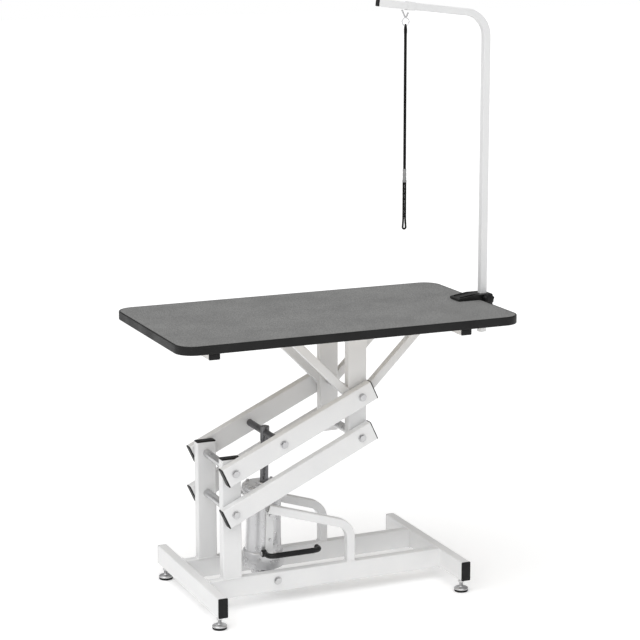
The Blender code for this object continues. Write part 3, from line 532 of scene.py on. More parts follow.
for end in ("front", "back"):
    for side in ("left", "right"):
        node = f"foot_{end}_{side}"
        low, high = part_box(node)
        middle = ((low[0] + high[0]) / 2, (low[1] + high[1]) / 2, 0.0)
        body = f"levelling_foot_{end}_{side}"
        foot = bmesh.new()
        lathe(foot, [(0.0, 0.0545)] + threaded(0.035, 0.054, 0.005) + [(0.0, 0.035)],
              middle, steps=20)
        lathe(foot, [(0.0, 0.0345), (0.0088, 0.0345), (0.0098, 0.0337), (0.0098, 0.0283),
                     (0.0088, 0.0275), (0.0, 0.0275)], middle, steps=6)
        lathe(foot, [(0.0, 0.0275)] + threaded(0.0165, 0.0275, 0.0058) + [(0.0, 0.0165)],
              middle, steps=20)
        lathe(foot, [
            (0.0, 0.0175), (0.0072, 0.0172), (0.0084, 0.016), (0.0092, 0.0148), (0.015, 0.0134),
            (0.0195, 0.012), (0.0214, 0.0105), (0.022, 0.0092), (0.022, 0.007), (0.0, 0.007),
        ], middle, steps=56)
        place(node + "_stem", foot, zinc, body, node, angle=30)
        turned(node + "_pad", black_plastic, body, [
            (0.0, 0.0068), (0.0214, 0.0068), (0.0217, 0.006), (0.0213, 0.005), (0.0217, 0.004),
            (0.0213, 0.003), (0.0216, 0.002), (0.0206, 0.0), (0.0, 0.0)], middle, steps=56, angle=40)


# Lower posts and guard bars -----------------------------------------------
# Two posts of the same tube stand on the rails. Beside the pump, a bent
# 26 mm square bar rises from each rail and runs up to shield it.
GUARD_SIZE = 0.026
GUARD_LEG_X = 0.0415
GUARD_BEND = 0.055
GUARD_SLOPE = 17.5
GUARD_HEIGHT = 0.214
GUARD_RUN = 0.28


def bent_path(x, foot_z, corner_z, radius, slope, run, steps):
    """Upright, then bent to the left and up a slope in degrees; the run is from the corner."""
    turn = 90 - slope
    lean = math.radians(slope)
    tangent = radius * math.tan(math.radians(turn) / 2)
    bend = arc_points((x - radius, corner_z - tangent), radius, 0, turn, steps)
    rest = run - tangent
    end = (bend[-1][0] - rest * math.cos(lean), bend[-1][1] + rest * math.sin(lean))
    return [(x, foot_z)] + bend + [end]


for end in ("front", "back"):
    tube_from_node("lower_post_" + end, "base")
    node = "guard_bar_" + end
    path = bent_path(GUARD_LEG_X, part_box(node)[0][2], GUARD_HEIGHT, GUARD_BEND, GUARD_SLOPE,
                     GUARD_RUN, 20)
    y = middle_of(node).y
    bar = bmesh.new()
    sweep_tube(bar, [(x, y, z) for x, z in path], (0, 1, 0), GUARD_SIZE, GUARD_SIZE, 0.003)
    place(node + "_tube", bar, white_coat, "base", node, angle=30)


# Arms ---------------------------------------------------------------------
# Two pairs of parallel arms of the base's own tube, plugged at both ends, with
# the crossbar for the pump through the upper pair.
ARM_LEFT_END = 0.031
ARM_RIGHT_END = 0.042
ARM_TALL = 0.06
ARM_WIDE = 0.03


for level in ("lower", "upper"):
    left_pivot = middle_of(level + "_left_shaft")
    right_pivot = middle_of(level + "_right_shaft")
    along = (right_pivot - left_pivot).normalized()
    for end in ("front", "back"):
        node = f"{level}_arm_{end}"
        sideways = Vector((0.0, middle_of(node).y, 0.0))
        start = left_pivot - along * ARM_LEFT_END + sideways
        finish = right_pivot + along * ARM_RIGHT_END + sideways
        arm = bmesh.new()
        sweep_tube(arm, [start, finish], (0, 1, 0), ARM_TALL, ARM_WIDE, 0.004)
        place(node + "_tube", arm, white_coat, level + "_arms", node)
        plugs = bmesh.new()
        end_plug(plugs, start, -along, (0, 1, 0), ARM_TALL, ARM_WIDE)
        end_plug(plugs, finish, along, (0, 1, 0), ARM_TALL, ARM_WIDE)
        place(node + "_plugs", plugs, black_plastic, level + "_arms", angle=50)


# Pivot bolts --------------------------------------------------------------
# Each pivot is a zinc-plated through bolt in a tube spacer: a hex head on a
# washer outside each arm, and a thick washer between arm and post.
ARM_FACE = 0.1535
POST_FACE = 0.1195
POST_INNER = 0.0895


def scatter_tree(name, material):
    """A tree that sets a shape on points and paints it: the tree, its input, and the setting node."""
    tree = bpy.data.node_groups.new(name, "GeometryNodeTree")
    for way in ("INPUT", "OUTPUT"):
        tree.interface.new_socket("Geometry", in_out=way, socket_type="NodeSocketGeometry")
    ins, outs = tree.nodes.new("NodeGroupInput"), tree.nodes.new("NodeGroupOutput")
    setting = add_node(tree, "GeometryNodeInstanceOnPoints")
    real = add_node(tree, "GeometryNodeRealizeInstances")
    painted = add_node(tree, "GeometryNodeSetMaterial", values={"Material": material})
    wire(tree, (setting, "Instances", real, "Geometry"), (real, "Geometry", painted, "Geometry"),
         (painted, "Geometry", outs, "Geometry"))
    return tree, ins, setting


def bolt_tree(head_radius, head_height, washer_radius, washer_height):
    """Hex heads on washers, one at each point, facing along the point's own arrow."""
    tree, ins, setting = scatter_tree("bolt_heads", zinc)
    joined = add_node(tree, "GeometryNodeJoinGeometry")
    crown_height = head_height + 0.0009
    for sides, radius, height, lift in (
            (32, washer_radius, washer_height, washer_height / 2),
            (6, head_radius, head_height, washer_height + head_height / 2),
            (24, head_radius * 0.84, crown_height, washer_height + crown_height / 2)):
        shape = add_node(tree, "GeometryNodeMeshCylinder",
                         values={"Vertices": sides, "Radius": radius, "Depth": height})
        moved = add_node(tree, "GeometryNodeTransform", values={"Translation": (0.0, 0.0, lift)})
        wire(tree, (shape, "Mesh", moved, "Geometry"), (moved, "Geometry", joined, "Geometry"))
    arrow = add_node(tree, "GeometryNodeInputNamedAttribute", {"data_type": "FLOAT_VECTOR"},
                     {"Name": "facing"})
    aimed = add_node(tree, "FunctionNodeAlignRotationToVector", {"axis": "Z"})
    wire(tree, (arrow, "Attribute", aimed, "Vector"), (ins, "Geometry", setting, "Points"),
         (joined, "Geometry", setting, "Instance"), (aimed, "Rotation", setting, "Rotation"))
    return tree


def grown(name, tree, mesh):
    """Run a tree on a mesh, and give back the plain mesh that it makes."""
    seed = bpy.data.objects.new(name + "_seed", mesh)
    scene.collection.objects.link(seed)
    seed.modifiers.new("tree", "NODES").node_group = tree
    graph = bpy.context.evaluated_depsgraph_get()
    made = bpy.data.meshes.new_from_object(seed.evaluated_get(graph))
    seed.modifiers.clear()
    bpy.data.objects.remove(seed)
    made.name = name
    return made


def bolts(name, places, body, sizes=(0.01, 0.0046, 0.0125, 0.002)):
    """Bolt heads at (point, direction) places, as one piece; sizes are of the head, then its washer."""
    mesh = bpy.data.meshes.new(name + "_points")
    mesh.from_pydata([tuple(point) for point, _ in places], [], [])
    facing = mesh.attributes.new("facing", "FLOAT_VECTOR", "POINT")
    for item, (_, direction) in zip(facing.data, places):
        item.vector = direction
    return place_mesh(name, grown(name, bolt_tree(*sizes), mesh), zinc, body, angle=30)


def pair_of_heads(centre, face):
    """Places for the two heads of a bolt that runs from front to back."""
    return [((centre.x, sign * face, centre.z), (0.0, sign, 0.0)) for sign in (-1.0, 1.0)]


def spacer(name, node, inner, radius, body, material):
    """The tube spacer and its thick washers, in place of the CAD shaft."""
    centre = middle_of(node)
    shaft = bmesh.new()
    lathe(shaft, drum(radius, inner), (centre.x, 0.0, centre.z), (0, 1, 0), 40)
    for sign in (-1.0, 1.0):
        outer = sign * (ARM_FACE - ARM_WIDE / 2)
        lathe(shaft, [(0.0, 0.021), (0.0078, 0.021), (0.0078, -0.021), (0.0, -0.021)],
              (centre.x, outer, centre.z), (0, 1, 0), 24)
    place(name, shaft, material, body, node, angle=30)
    return centre


for node, body in (("lower_left_shaft", "base"), ("upper_left_shaft", "base"),
                   ("lower_right_shaft", "table_frame"), ("upper_right_shaft", "table_frame")):
    centre = spacer(node + "_spacer", node, POST_INNER - 0.0003, 0.0125, body, zinc)
    bolts(node + "_heads", pair_of_heads(centre, ARM_FACE), body)
    washers = bmesh.new()
    for sign in (-1.0, 1.0):
        lathe(washers, drum(0.0158, 0.0018, 0.0008),
              (centre.x, sign * (POST_FACE + 0.002), centre.z), (0, 1, 0), 40)
    place(node + "_washers", washers, zinc, body, angle=30)

grey_steel = finish_material(
    "grey_steel", (0.1, 0.1, 0.105), (0.17, 0.17, 0.175),
    35.0, 1100.0, 0.12, (0.3, 0.46), {"Metallic": 0.85})
centre = spacer("lift_crossbar_rod", "lift_crossbar", ARM_FACE - ARM_WIDE - 0.0003, 0.0105,
                "upper_arms", grey_steel)
bolts("lift_crossbar_heads", pair_of_heads(centre, ARM_FACE), "upper_arms")

foot_centre = middle_of("pump_foot_shaft")
FOOT_SHAFT_RADIUS = 0.008
FOOT_SHAFT_END = POST_FACE - 0.0005
turned("pump_foot_shaft_rod", zinc, "base",
       [(0.0, FOOT_SHAFT_END), (FOOT_SHAFT_RADIUS, FOOT_SHAFT_END), (FOOT_SHAFT_RADIUS, -FOOT_SHAFT_END),
        (0.0, -FOOT_SHAFT_END)], foot_centre, (0, 1, 0), 32, ["pump_foot_shaft"])
bolts("pump_foot_shaft_heads", pair_of_heads(foot_centre, POST_FACE), "base")


# Welds --------------------------------------------------------------------
# Where tubes meet, a rippled fillet weld runs round the joint, under the same
# powder coat. Each ripple is one puddle of the weld.
PUDDLE_RADIUS = 0.0026
RIPPLE_SPACING = 0.0022


def weld_tree():
    """Overlapping puddles along the edges of the mesh it is given."""
    tree, ins, setting = scatter_tree("weld_ripples", white_coat)
    line = add_node(tree, "GeometryNodeMeshToCurve")
    steps = add_node(tree, "GeometryNodeResampleCurve", {"mode": "LENGTH"}, {"Length": RIPPLE_SPACING})
    puddle = add_node(tree, "GeometryNodeMeshUVSphere",
                      values={"Segments": 8, "Rings": 6, "Radius": PUDDLE_RADIUS})
    wire(tree, (ins, "Geometry", line, "Mesh"), (line, "Curve", steps, "Curve"),
         (steps, "Curve", setting, "Points"), (puddle, "Mesh", setting, "Instance"))
    return tree


weld_ripples = weld_tree()


def seam_round(node, plane, value):
    """The outline of a node's box where the plane of one axis cuts it."""
    low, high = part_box(node)
    first, second = [i for i in range(3) if i != plane]
    corners = []
    for a, b in ((low[first], low[second]), (high[first], low[second]),
                 (high[first], high[second]), (low[first], high[second])):
        point = [0.0, 0.0, 0.0]
        point[plane], point[first], point[second] = value, a, b
        corners.append(tuple(point))
    return corners


def welds(name, seams, body):
    """Weld beads along closed seams, as one piece."""
    verts, edges = [], []
    for seam in seams:
        base = len(verts)
        verts += seam
        edges += [(base + i, base + (i + 1) % len(seam)) for i in range(len(seam))]
    mesh = bpy.data.meshes.new(name + "_lines")
    mesh.from_pydata(verts, edges, [])
    return place_mesh(name, grown(name, weld_ripples, mesh), white_coat, body, angle=80)


base_seams = []
for end in ("front", "back"):
    rail_low, rail_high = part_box("base_rail_" + end)
    base_seams.append(seam_round("base_rail_" + end, 0, rail_low[0]))
    base_seams.append(seam_round("base_rail_" + end, 0, rail_high[0]))
    base_seams.append(seam_round("lower_post_" + end, 2, rail_high[2]))
    leg = seam_round("guard_bar_" + end, 2, rail_high[2])
    leg_left = GUARD_LEG_X - GUARD_SIZE / 2
    base_seams.append([(max(x, leg_left), y, z) for x, y, z in leg])
welds("base_welds", base_seams, "base")


# Table frame --------------------------------------------------------------
# Two posts hang between the arms' upper ends, carry 40 mm rails with four
# 45 degree braces, and two flat cross rails that are screwed to the board.
BRACE = 0.025
BRACE_REACH = 0.195
TUBE_TALL = 0.06
rail_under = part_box("top_rail_front")[0][2]
post_x = middle_of("upper_post_front").x
frame_seams = []
for end in ("front", "back"):
    tube_from_node("upper_post_" + end, "table_frame")
    tube_from_node("top_rail_" + end, "table_frame")
    frame_seams.append(seam_round("upper_post_" + end, 2, rail_under))
    rail_low, rail_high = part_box("top_rail_" + end)
    frame_seams.append(seam_round("top_rail_" + end, 0, rail_low[0]))
    frame_seams.append(seam_round("top_rail_" + end, 0, rail_high[0]))
for side in ("left", "right"):
    tube_from_node("cross_rail_" + side, "table_frame", corner=0.003)


def brace_tube(node, lean):
    """A square tube at 45 degrees, cut flat on the post's side and under the rail."""
    y = middle_of(node).y
    axis = Vector((lean, 0.0, 1.0)).normalized()
    up = Vector((-lean, 0.0, 1.0)).normalized()
    centre = Vector((post_x + lean * BRACE_REACH, y, rail_under))
    post_face = post_x + lean * TUBE_TALL / 2
    bm = bmesh.new()
    shells = []
    for size, corner in ((BRACE, 0.003), (BRACE - 2 * WALL, 0.0012)):
        ends = ([], [])
        for a, b in rounded_section(size, size, corner):
            point = centre + up * a + Vector((0.0, b, 0.0))
            foot = point + axis * ((post_face - point.x) / axis.x)
            head = point + axis * ((rail_under - point.z) / axis.z)
            ends[0].append(bm.verts.new(foot))
            ends[1].append(bm.verts.new(head))
        skin(bm, ends)
        shells.append(ends)
    for index in (0, 1):
        skin(bm, [shells[0][index], shells[1][index]])
    place(node + "_tube", bm, white_coat, "table_frame", node)
    half = BRACE / 2
    slant = half * math.sqrt(2)
    rail_seam = [(centre.x - slant, y - half, rail_under), (centre.x + slant, y - half, rail_under),
                 (centre.x + slant, y + half, rail_under), (centre.x - slant, y + half, rail_under)]
    post_z = rail_under - (BRACE_REACH - TUBE_TALL / 2)
    post_seam = [(post_face, y - half, post_z - slant), (post_face, y - half, post_z + slant),
                 (post_face, y + half, post_z + slant), (post_face, y + half, post_z - slant)]
    frame_seams.extend([rail_seam, post_seam])


for end in ("front", "back"):
    brace_tube(f"brace_{end}_left", -1.0)
    brace_tube(f"brace_{end}_right", 1.0)
welds("table_frame_welds", frame_seams, "table_frame")

screw_places = []
for side in ("left", "right"):
    rail = middle_of("cross_rail_" + side)
    rail_low_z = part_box("cross_rail_" + side)[0][2]
    for y in (-0.235, -0.055, 0.055, 0.235):
        screw_places.append(((rail.x, y, rail_low_z), (0.0, 0.0, -1.0)))
bolts("board_screws", screw_places, "table_frame", (0.0062, 0.0036, 0.0085, 0.0012))


# Table top ----------------------------------------------------------------
# A plywood board under a grey non-slip mat with a fine raised pattern, bound
# all round by a black moulded edging with a small lip over the mat.
top_low, top_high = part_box("edge_band")
TOP_CORNER = 0.055


def top_outline(inset, steps=16):
    """The table's outline drawn in by a distance."""
    length = top_high[0] - top_low[0] - 2 * inset
    depth = top_high[1] - top_low[1] - 2 * inset
    middle = (top_low[0] + top_high[0]) / 2
    return [(middle + a, b) for a, b in rounded_section(length, depth, TOP_CORNER - inset, steps)]


def top_layer(name, material, node, layers, angle=35, ring=False):
    """A layer of the top from (inset, height) outlines: a closed slab, or a ring round the edge."""
    bm = bmesh.new()
    rings = [[bm.verts.new((x, y, z)) for x, y in top_outline(inset)] for inset, z in layers]
    skin(bm, rings + [rings[0]] if ring else rings)
    if not ring:
        bm.faces.new(rings[0])
        bm.faces.new(rings[-1])
    place(name, bm, material, "table_frame", node, angle=angle)


band_top, band_under = top_high[2], top_low[2]
layers = [
    (0.0012, band_under), (0.0002, band_under + 0.001), (0.0, band_under + 0.003),
    (0.0, band_top - 0.0034), (0.0004, band_top - 0.0016), (0.0014, band_top - 0.0004),
    (0.0026, band_top), (0.004, band_top - 0.0002), (0.005, band_top - 0.0009),
    (0.0052, band_top - 0.003), (0.004, band_top - 0.0034), (0.004, band_under),
]
black_edging = finish_material(
    "black_edging", (0.008, 0.008, 0.008), (0.016, 0.016, 0.016),
    12.0, 1500.0, 0.3, (0.4, 0.56), {"Specular IOR Level": 0.2})
top_layer("edge_band_moulding", black_edging, "edge_band", layers, 50, ring=True)


def mat_material():
    """Grey rubber with fine rows of raised grains, painted shade in the hollows between them and painted
    light on their tops, and a slow change of shade.
    """
    material = finish_material(
        "grey_rubber_mat", (0.225, 0.225, 0.222), (0.295, 0.295, 0.29),
        7.0, 1200.0, 0.2, (0.52, 0.66))
    tree = material.node_tree
    shader = tree.nodes["Principled BSDF"]
    where = tree.nodes["Texture Coordinate"]
    grains = add_node(tree, "ShaderNodeTexVoronoi", {"feature": "F1"},
                      {"Scale": 230.0, "Randomness": 0.45})
    domes = add_node(tree, "ShaderNodeMapRange", values={"From Min": 0.15, "From Max": 0.6,
                                                        "To Min": 1.0, "To Max": 0.0})
    raised = add_node(tree, "ShaderNodeBump", values={"Strength": 0.65, "Distance": 0.0006})
    # The grains' height also scales the colour: painted shade between the grains, painted light on their
    # tops.
    shade = add_node(tree, "ShaderNodeMix", {"data_type": "RGBA", "blend_type": "MULTIPLY"},
                     {"Factor": 0.55})
    painted_grain_shade = add_node(tree, "ShaderNodeMapRange", values={"To Min": 0.3, "To Max": 1.35})
    wire(tree, (where, "Object", grains, "Vector"), (grains, "Distance", domes, "Value"),
         (domes, "Result", raised, "Height"), (raised, "Normal", shader, "Normal"),
         (domes, "Result", painted_grain_shade, "Value"), (tree.nodes["Mix"], "Result", shade, "A"),
         (painted_grain_shade, "Result", shade, "B"), (shade, "Result", shader, "Base Color"))
    return material


mat_low, mat_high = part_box("tabletop_mat")
top_layer("tabletop_mat_sheet", mat_material(), "tabletop_mat",
          [(0.0045, mat_low[2]), (0.0045, mat_high[2] - 0.0004), (0.0053, mat_high[2])])


def plywood_material():
    """Plain plywood: long grain with a slow wave in it."""
    material = finish_material(
        "plywood", (0.44, 0.375, 0.29), (0.58, 0.51, 0.41),
        6.0, 500.0, 0.3, (0.6, 0.8))
    tree = material.node_tree
    where = tree.nodes["Texture Coordinate"]
    stretch = add_node(tree, "ShaderNodeMapping", values={"Scale": (1.2, 24.0, 24.0)})
    figure = add_node(tree, "ShaderNodeTexNoise", values={"Scale": 2.2, "Detail": 6.0, "Distortion": 0.6})
    wire(tree, (where, "Object", stretch, "Vector"), (stretch, "Vector", figure, "Vector"),
         (figure, "Fac", tree.nodes["Mix"], "Factor"))
    return material


board_low, board_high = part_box("tabletop_board")
top_layer("tabletop_board_panel", plywood_material(), "tabletop_board",
          [(0.0052, board_low[2]), (0.0044, board_low[2] + 0.0008), (0.0044, board_high[2])])


# Pump ---------------------------------------------------------------------
# A single-acting hydraulic pump in silver-grey paint: a drum-shaped foot with
# the valves, a tapering cylinder, and a thick flange cap held by four screws.
bar_centre = middle_of("lift_crossbar")
pump_foot = middle_of("pump_foot_shaft")
pump_axis = (bar_centre - pump_foot).normalized()
silver_paint = finish_material(
    "silver_grey_paint", (0.6, 0.6, 0.61), (0.7, 0.7, 0.71),
    14.0, 900.0, 0.12, (0.22, 0.34), {"Metallic": 0.55})
CAP_TOP = 0.275
ROD_HOLE = 0.0135
BORE_DEPTH = 0.212
turned("pump_cylinder_body", silver_paint, "pump", [
    (0.0, CAP_TOP - BORE_DEPTH), (ROD_HOLE, CAP_TOP - BORE_DEPTH),
    (ROD_HOLE, CAP_TOP - 0.001), (ROD_HOLE + 0.001, CAP_TOP),
    (0.023, CAP_TOP), (0.024, CAP_TOP - 0.0012), (0.024, CAP_TOP - 0.0035),
    (0.05, CAP_TOP - 0.0035), (0.06, CAP_TOP - 0.005), (0.066, CAP_TOP - 0.0085),
    (0.068, CAP_TOP - 0.013), (0.068, CAP_TOP - 0.0265), (0.0665, CAP_TOP - 0.028),
    (0.054, CAP_TOP - 0.029), (0.0515, CAP_TOP - 0.033), (0.0518, CAP_TOP - 0.06),
    (0.0525, 0.152), (0.053, 0.1505), (0.053, 0.1465), (0.0526, 0.145),
    (0.055, 0.07), (0.056, 0.066), (0.059, 0.0642), (0.0608, 0.063), (0.062, 0.061),
    (0.062, 0.043), (0.0612, 0.0424), (0.0612, 0.0406), (0.062, 0.04), (0.062, 0.0172),
    (0.0608, 0.015), (0.059, 0.0141), (0.0, 0.0141),
], pump_foot, pump_axis, 96, ["pump_cylinder"])

pump_side = Vector((0.0, 1.0, 0.0)).cross(pump_axis).normalized()


def on_pump(sideways, forward, height):
    """A point by its place beside the pump's axis and above its foot shaft."""
    return pump_foot + pump_side * sideways + Vector((0.0, forward, 0.0)) + pump_axis * height


def loop_mesh(name, loops, thick, to_world):
    """A flat plate with holes: closed outlines, a thickness, and a map of its points."""
    curve = bpy.data.curves.new(name, "CURVE")
    curve.dimensions = "2D"
    curve.fill_mode = "BOTH"
    curve.extrude = thick / 2
    for loop in loops:
        spline = curve.splines.new("POLY")
        spline.points.add(len(loop) - 1)
        for point, (a, b) in zip(spline.points, loop):
            point.co = (a, b, 0.0, 1.0)
        spline.use_cyclic_u = True
    drawn = bpy.data.objects.new(name, curve)
    scene.collection.objects.link(drawn)
    graph = bpy.context.evaluated_depsgraph_get()
    mesh = bpy.data.meshes.new_from_object(drawn.evaluated_get(graph))
    bpy.data.objects.remove(drawn)
    bm = bmesh.new()
    bm.from_mesh(mesh)
    bmesh.ops.remove_doubles(bm, verts=bm.verts, dist=0.00001)
    for vert in bm.verts:
        vert.co = to_world(*vert.co)
    return bm


def centred_section(tall, wide, corner, middle, steps=6):
    return [(a + middle[0], b + middle[1]) for a, b in rounded_section(tall, wide, corner, steps)]


lug_loops = [centred_section(0.06, 0.0395, 0.003, (0.0, -0.006)),
             centred_section(0.0385, 0.027, 0.0134, (0.0, 0.0), 10)]
lug = loop_mesh("pump_lug", lug_loops, 0.04, lambda a, b, c: on_pump(a, c, b))
place("pump_foot_lug", lug, silver_paint, "pump", angle=30)

SCREW_CIRCLE = 0.0545
cap_screws = []
for step in range(4):
    angle = math.radians(45 + 90 * step)
    point = on_pump(SCREW_CIRCLE * math.cos(angle), SCREW_CIRCLE * math.sin(angle), CAP_TOP - 0.0044)
    cap_screws.append((point, tuple(pump_axis)))
bolts("pump_cap_screws", cap_screws, "pump", (0.005, 0.003, 0.0066, 0.001))

filler_out = Vector((-0.55, -0.835, 0.0)).normalized()
filler_at = pump_foot + pump_axis * 0.048 + filler_out * 0.06
turned("pump_oil_plug", zinc, "pump", [
    (0.0, 0.0052), (0.0042, 0.0052), (0.005, 0.0044), (0.005, 0.001), (0.0066, 0.0008),
    (0.0066, -0.001), (0.0, -0.001)], filler_at, filler_out, 24)

rod_steel = finish_material(
    "ground_rod_steel", (0.13, 0.13, 0.135), (0.19, 0.19, 0.195),
    40.0, 1600.0, 0.05, (0.2, 0.34), {"Metallic": 0.9})
turned("pump_rod_shaft", rod_steel, "rod", [
    (0.0, 0.0205), (0.01, 0.0203), (0.0126, 0.0192), (0.0138, 0.017), (0.0138, -0.025),
    (0.0132, -0.0268), (0.0125, -0.0278), (0.0125, -0.239), (0.0115, -0.24), (0.0, -0.24),
], bar_centre, pump_axis, 64, ["pump_rod"])

# The upright valve bar in front of the cylinder, with its two clamp screws
VALVE_HALF = 0.012
CYLINDER_LOW_RADIUS = 0.055
valve_back = -CYLINDER_LOW_RADIUS - 0.002
valve_front = -CYLINDER_LOW_RADIUS - 0.0125
VALVE_LOW, VALVE_HIGH = 0.0643, 0.205
VALVE_X = -0.006
valve_middle = (VALVE_X, (valve_back + valve_front) / 2)
valve_loop = centred_section(2 * VALVE_HALF, valve_back - valve_front, 0.0025, valve_middle)
valve = loop_mesh("valve_bar", [valve_loop], VALVE_HIGH - VALVE_LOW,
                  lambda a, b, c: on_pump(a, b, c + (VALVE_HIGH + VALVE_LOW) / 2))
place("pump_valve_bar_block", valve, white_coat, "pump", "pump_valve_bar", angle=30)
bolts("pump_valve_screws", [(on_pump(VALVE_X, valve_front, height), (0.0, -1.0, 0.0))
                            for height in (0.112, 0.188)],
      "pump", (0.0042, 0.0026, 0.0056, 0.0008))


# Foot pedal ---------------------------------------------------------------
# A bent round bar in black powder coat on a zinc pin. A ribbed rubber sleeve
# covers the tread, and the far end is turned back and rounded off.
black_coat = finish_material(
    "black_powder_coat", (0.006, 0.006, 0.006), (0.014, 0.014, 0.014),
    22.0, 1300.0, 0.22, (0.3, 0.46), {"Specular IOR Level": 0.3})
PEDAL_LEFT, PEDAL_RIGHT = -0.223, -0.056
PEDAL_FRONT, PEDAL_PIVOT_Y, PEDAL_Z = -0.106, -0.07, 0.148
PEDAL_BEND = 0.017
PEDAL_RADIUS = 0.0085
flat_path = [(PEDAL_LEFT, PEDAL_PIVOT_Y + 0.0005)]
flat_path += arc_points((PEDAL_LEFT + PEDAL_BEND, PEDAL_FRONT + PEDAL_BEND), PEDAL_BEND, 180, 270, 16)
flat_path += arc_points((PEDAL_RIGHT - PEDAL_BEND, PEDAL_FRONT + PEDAL_BEND), PEDAL_BEND, 270, 360, 16)
flat_path.append((PEDAL_RIGHT, PEDAL_PIVOT_Y - 0.006))
pedal = bmesh.new()
round_rod(pedal, [(x, y, PEDAL_Z) for x, y in flat_path], PEDAL_RADIUS - 0.0006, 24)
hub_x = PEDAL_LEFT - 0.0025
lathe(pedal, drum(0.011, 0.0065, 0.0008), (hub_x, PEDAL_PIVOT_Y, PEDAL_Z), (1, 0, 0), 32)
place("foot_pedal_bar", pedal, black_coat, "pedal", "foot_pedal", angle=40)
half = (PEDAL_RIGHT - PEDAL_LEFT) / 2 - PEDAL_BEND - 0.004
profile = [(0.0, half)]
TREAD_RIBS = 26
deep = 2 * half / TREAD_RIBS
for rib in range(TREAD_RIBS):
    top = half - 2 * half * rib / TREAD_RIBS
    profile += [(0.008, top), (0.0085, top - deep * 0.25), (0.0085, top - deep * 0.7),
                (0.008, top - deep * 0.95)]
profile.append((0.0, -half))
turned("foot_pedal_tread", black_plastic, "pedal", profile,
       ((PEDAL_LEFT + PEDAL_RIGHT) / 2, PEDAL_FRONT, PEDAL_Z), (1, 0, 0), 28, angle=40)
turned("pedal_pin_bolt", zinc, "pump", [
    (0.0, 0.0055), (0.004, 0.0055), (0.004, -0.0093), (0.0072, -0.0093), (0.0075, -0.0098),
    (0.0075, -0.0118), (0.0064, -0.0133), (0.0, -0.0135),
], (PEDAL_LEFT, PEDAL_PIVOT_Y, PEDAL_Z), (1, 0, 0), 32, ["pedal_pin"])


# Clamp of the grooming arm ------------------------------------------------
# A black C-shaped clamp on the table's right edge: a sloping jaw over the top,
# a square socket for the pole outside the edge, and a screw from below.
POLE_X, POLE_Y = 0.538, -0.006
POLE = 0.022
clamp_low, clamp_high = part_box("arm_clamp")
jaw_seat = top_high[2] + 0.0003
wall_x = top_high[0] + 0.0003
jaw_top = clamp_low[2] + 0.012
crest = clamp_high[2]
side_shape = [
    (clamp_low[0] + 0.004, jaw_seat), (wall_x, jaw_seat), (wall_x, jaw_top),
    (clamp_low[0] + 0.002, jaw_top), (clamp_low[0], jaw_top - 0.002),
    (clamp_low[0], clamp_low[2] + 0.002), (clamp_low[0] + 0.002, clamp_low[2]),
    (clamp_high[0] - 0.002, clamp_low[2]), (clamp_high[0], clamp_low[2] + 0.002),
    (clamp_high[0], crest - 0.003), (clamp_high[0] - 0.003, crest),
    (clamp_high[0] - 0.058, crest), (clamp_high[0] - 0.064, crest - 0.001),
    (clamp_low[0] + 0.006, crest - 0.0075), (clamp_low[0] + 0.001, crest - 0.0095),
    (clamp_low[0], crest - 0.012), (clamp_low[0] + 0.001, jaw_seat + 0.001),
]
clamp_width = clamp_high[1] - clamp_low[1]
clamp = loop_mesh("clamp", [side_shape], clamp_width,
                  lambda a, b, c: Vector((a, c + (clamp_low[1] + clamp_high[1]) / 2, b)))
mesh = bpy.data.meshes.new("clamp_blank")
bmesh.ops.recalc_face_normals(clamp, faces=clamp.faces)
bmesh.ops.dissolve_limit(clamp, angle_limit=0.01, verts=clamp.verts, edges=clamp.edges)
clamp.to_mesh(mesh)
clamp.free()
blank = bpy.data.objects.new("clamp_blank", mesh)
hole = bmesh.new()
hole_side = POLE + 0.0006
SOCKET_MIDDLE = 0.84
bmesh.ops.create_cube(hole, size=1.0)
bmesh.ops.scale(hole, vec=(hole_side, hole_side, 0.3), verts=hole.verts)
bmesh.ops.translate(hole, vec=(POLE_X, POLE_Y, SOCKET_MIDDLE), verts=hole.verts)
hole_mesh = bpy.data.meshes.new("pole_hole")
hole.to_mesh(hole_mesh)
hole.free()
hole_cutter = bpy.data.objects.new("pole_hole", hole_mesh)
scene.collection.objects.link(blank)
scene.collection.objects.link(hole_cutter)
socket_cut = blank.modifiers.new("socket", "BOOLEAN")
socket_cut.object = hole_cutter
socket_cut.operation = "DIFFERENCE"
softened = blank.modifiers.new("softened", "BEVEL")
softened.width = 0.0016
softened.segments = 3
softened.limit_method = "ANGLE"
graph = bpy.context.evaluated_depsgraph_get()
clamp_mesh = bpy.data.meshes.new_from_object(blank.evaluated_get(graph))
bpy.data.objects.remove(blank)
bpy.data.objects.remove(hole_cutter)
place_mesh("arm_clamp_casting", clamp_mesh, black_coat, "table_frame", "arm_clamp",
           angle=35)
ribs = bmesh.new()
for sign in (-1.0, 1.0):
    y = POLE_Y + sign * 0.02
    path = [(clamp_low[0] + 0.01, y, crest - 0.0062), (clamp_high[0] - 0.066, y, crest - 0.0002),
            (clamp_high[0] - 0.044, y, crest - 0.0006)]
    round_rod(ribs, path, 0.0022, 12)
place("arm_clamp_ribs", ribs, black_coat, "table_frame", angle=50)

SCREW_X = 0.475
board_under = board_low[2]
knob_top = clamp_low[2] - 0.014
profile = [(0.0, board_under - 0.0003), (0.0105, board_under - 0.0003), (0.011, board_under - 0.001),
           (0.011, board_under - 0.0042), (0.006, board_under - 0.0062)]
profile += threaded(knob_top, board_under - 0.0065, 0.005) + [(0.0, knob_top)]
turned("clamp_screw_thread", zinc, "screw", profile, (SCREW_X, POLE_Y, 0.0), steps=28)
LOBE_DEPTH = 0.0022
turned("clamp_screw_grip", black_plastic, "screw", [
    (0.0, 0.0), (0.012, 0.0), (0.015, -0.0018), (0.016, -0.0045), (0.016, -0.0115),
    (0.015, -0.014), (0.012, -0.015), (0.0, -0.015),
], (SCREW_X, POLE_Y, knob_top), steps=60, nodes=["clamp_screw"], angle=40, lobes=6,
       lobe_depth=LOBE_DEPTH)

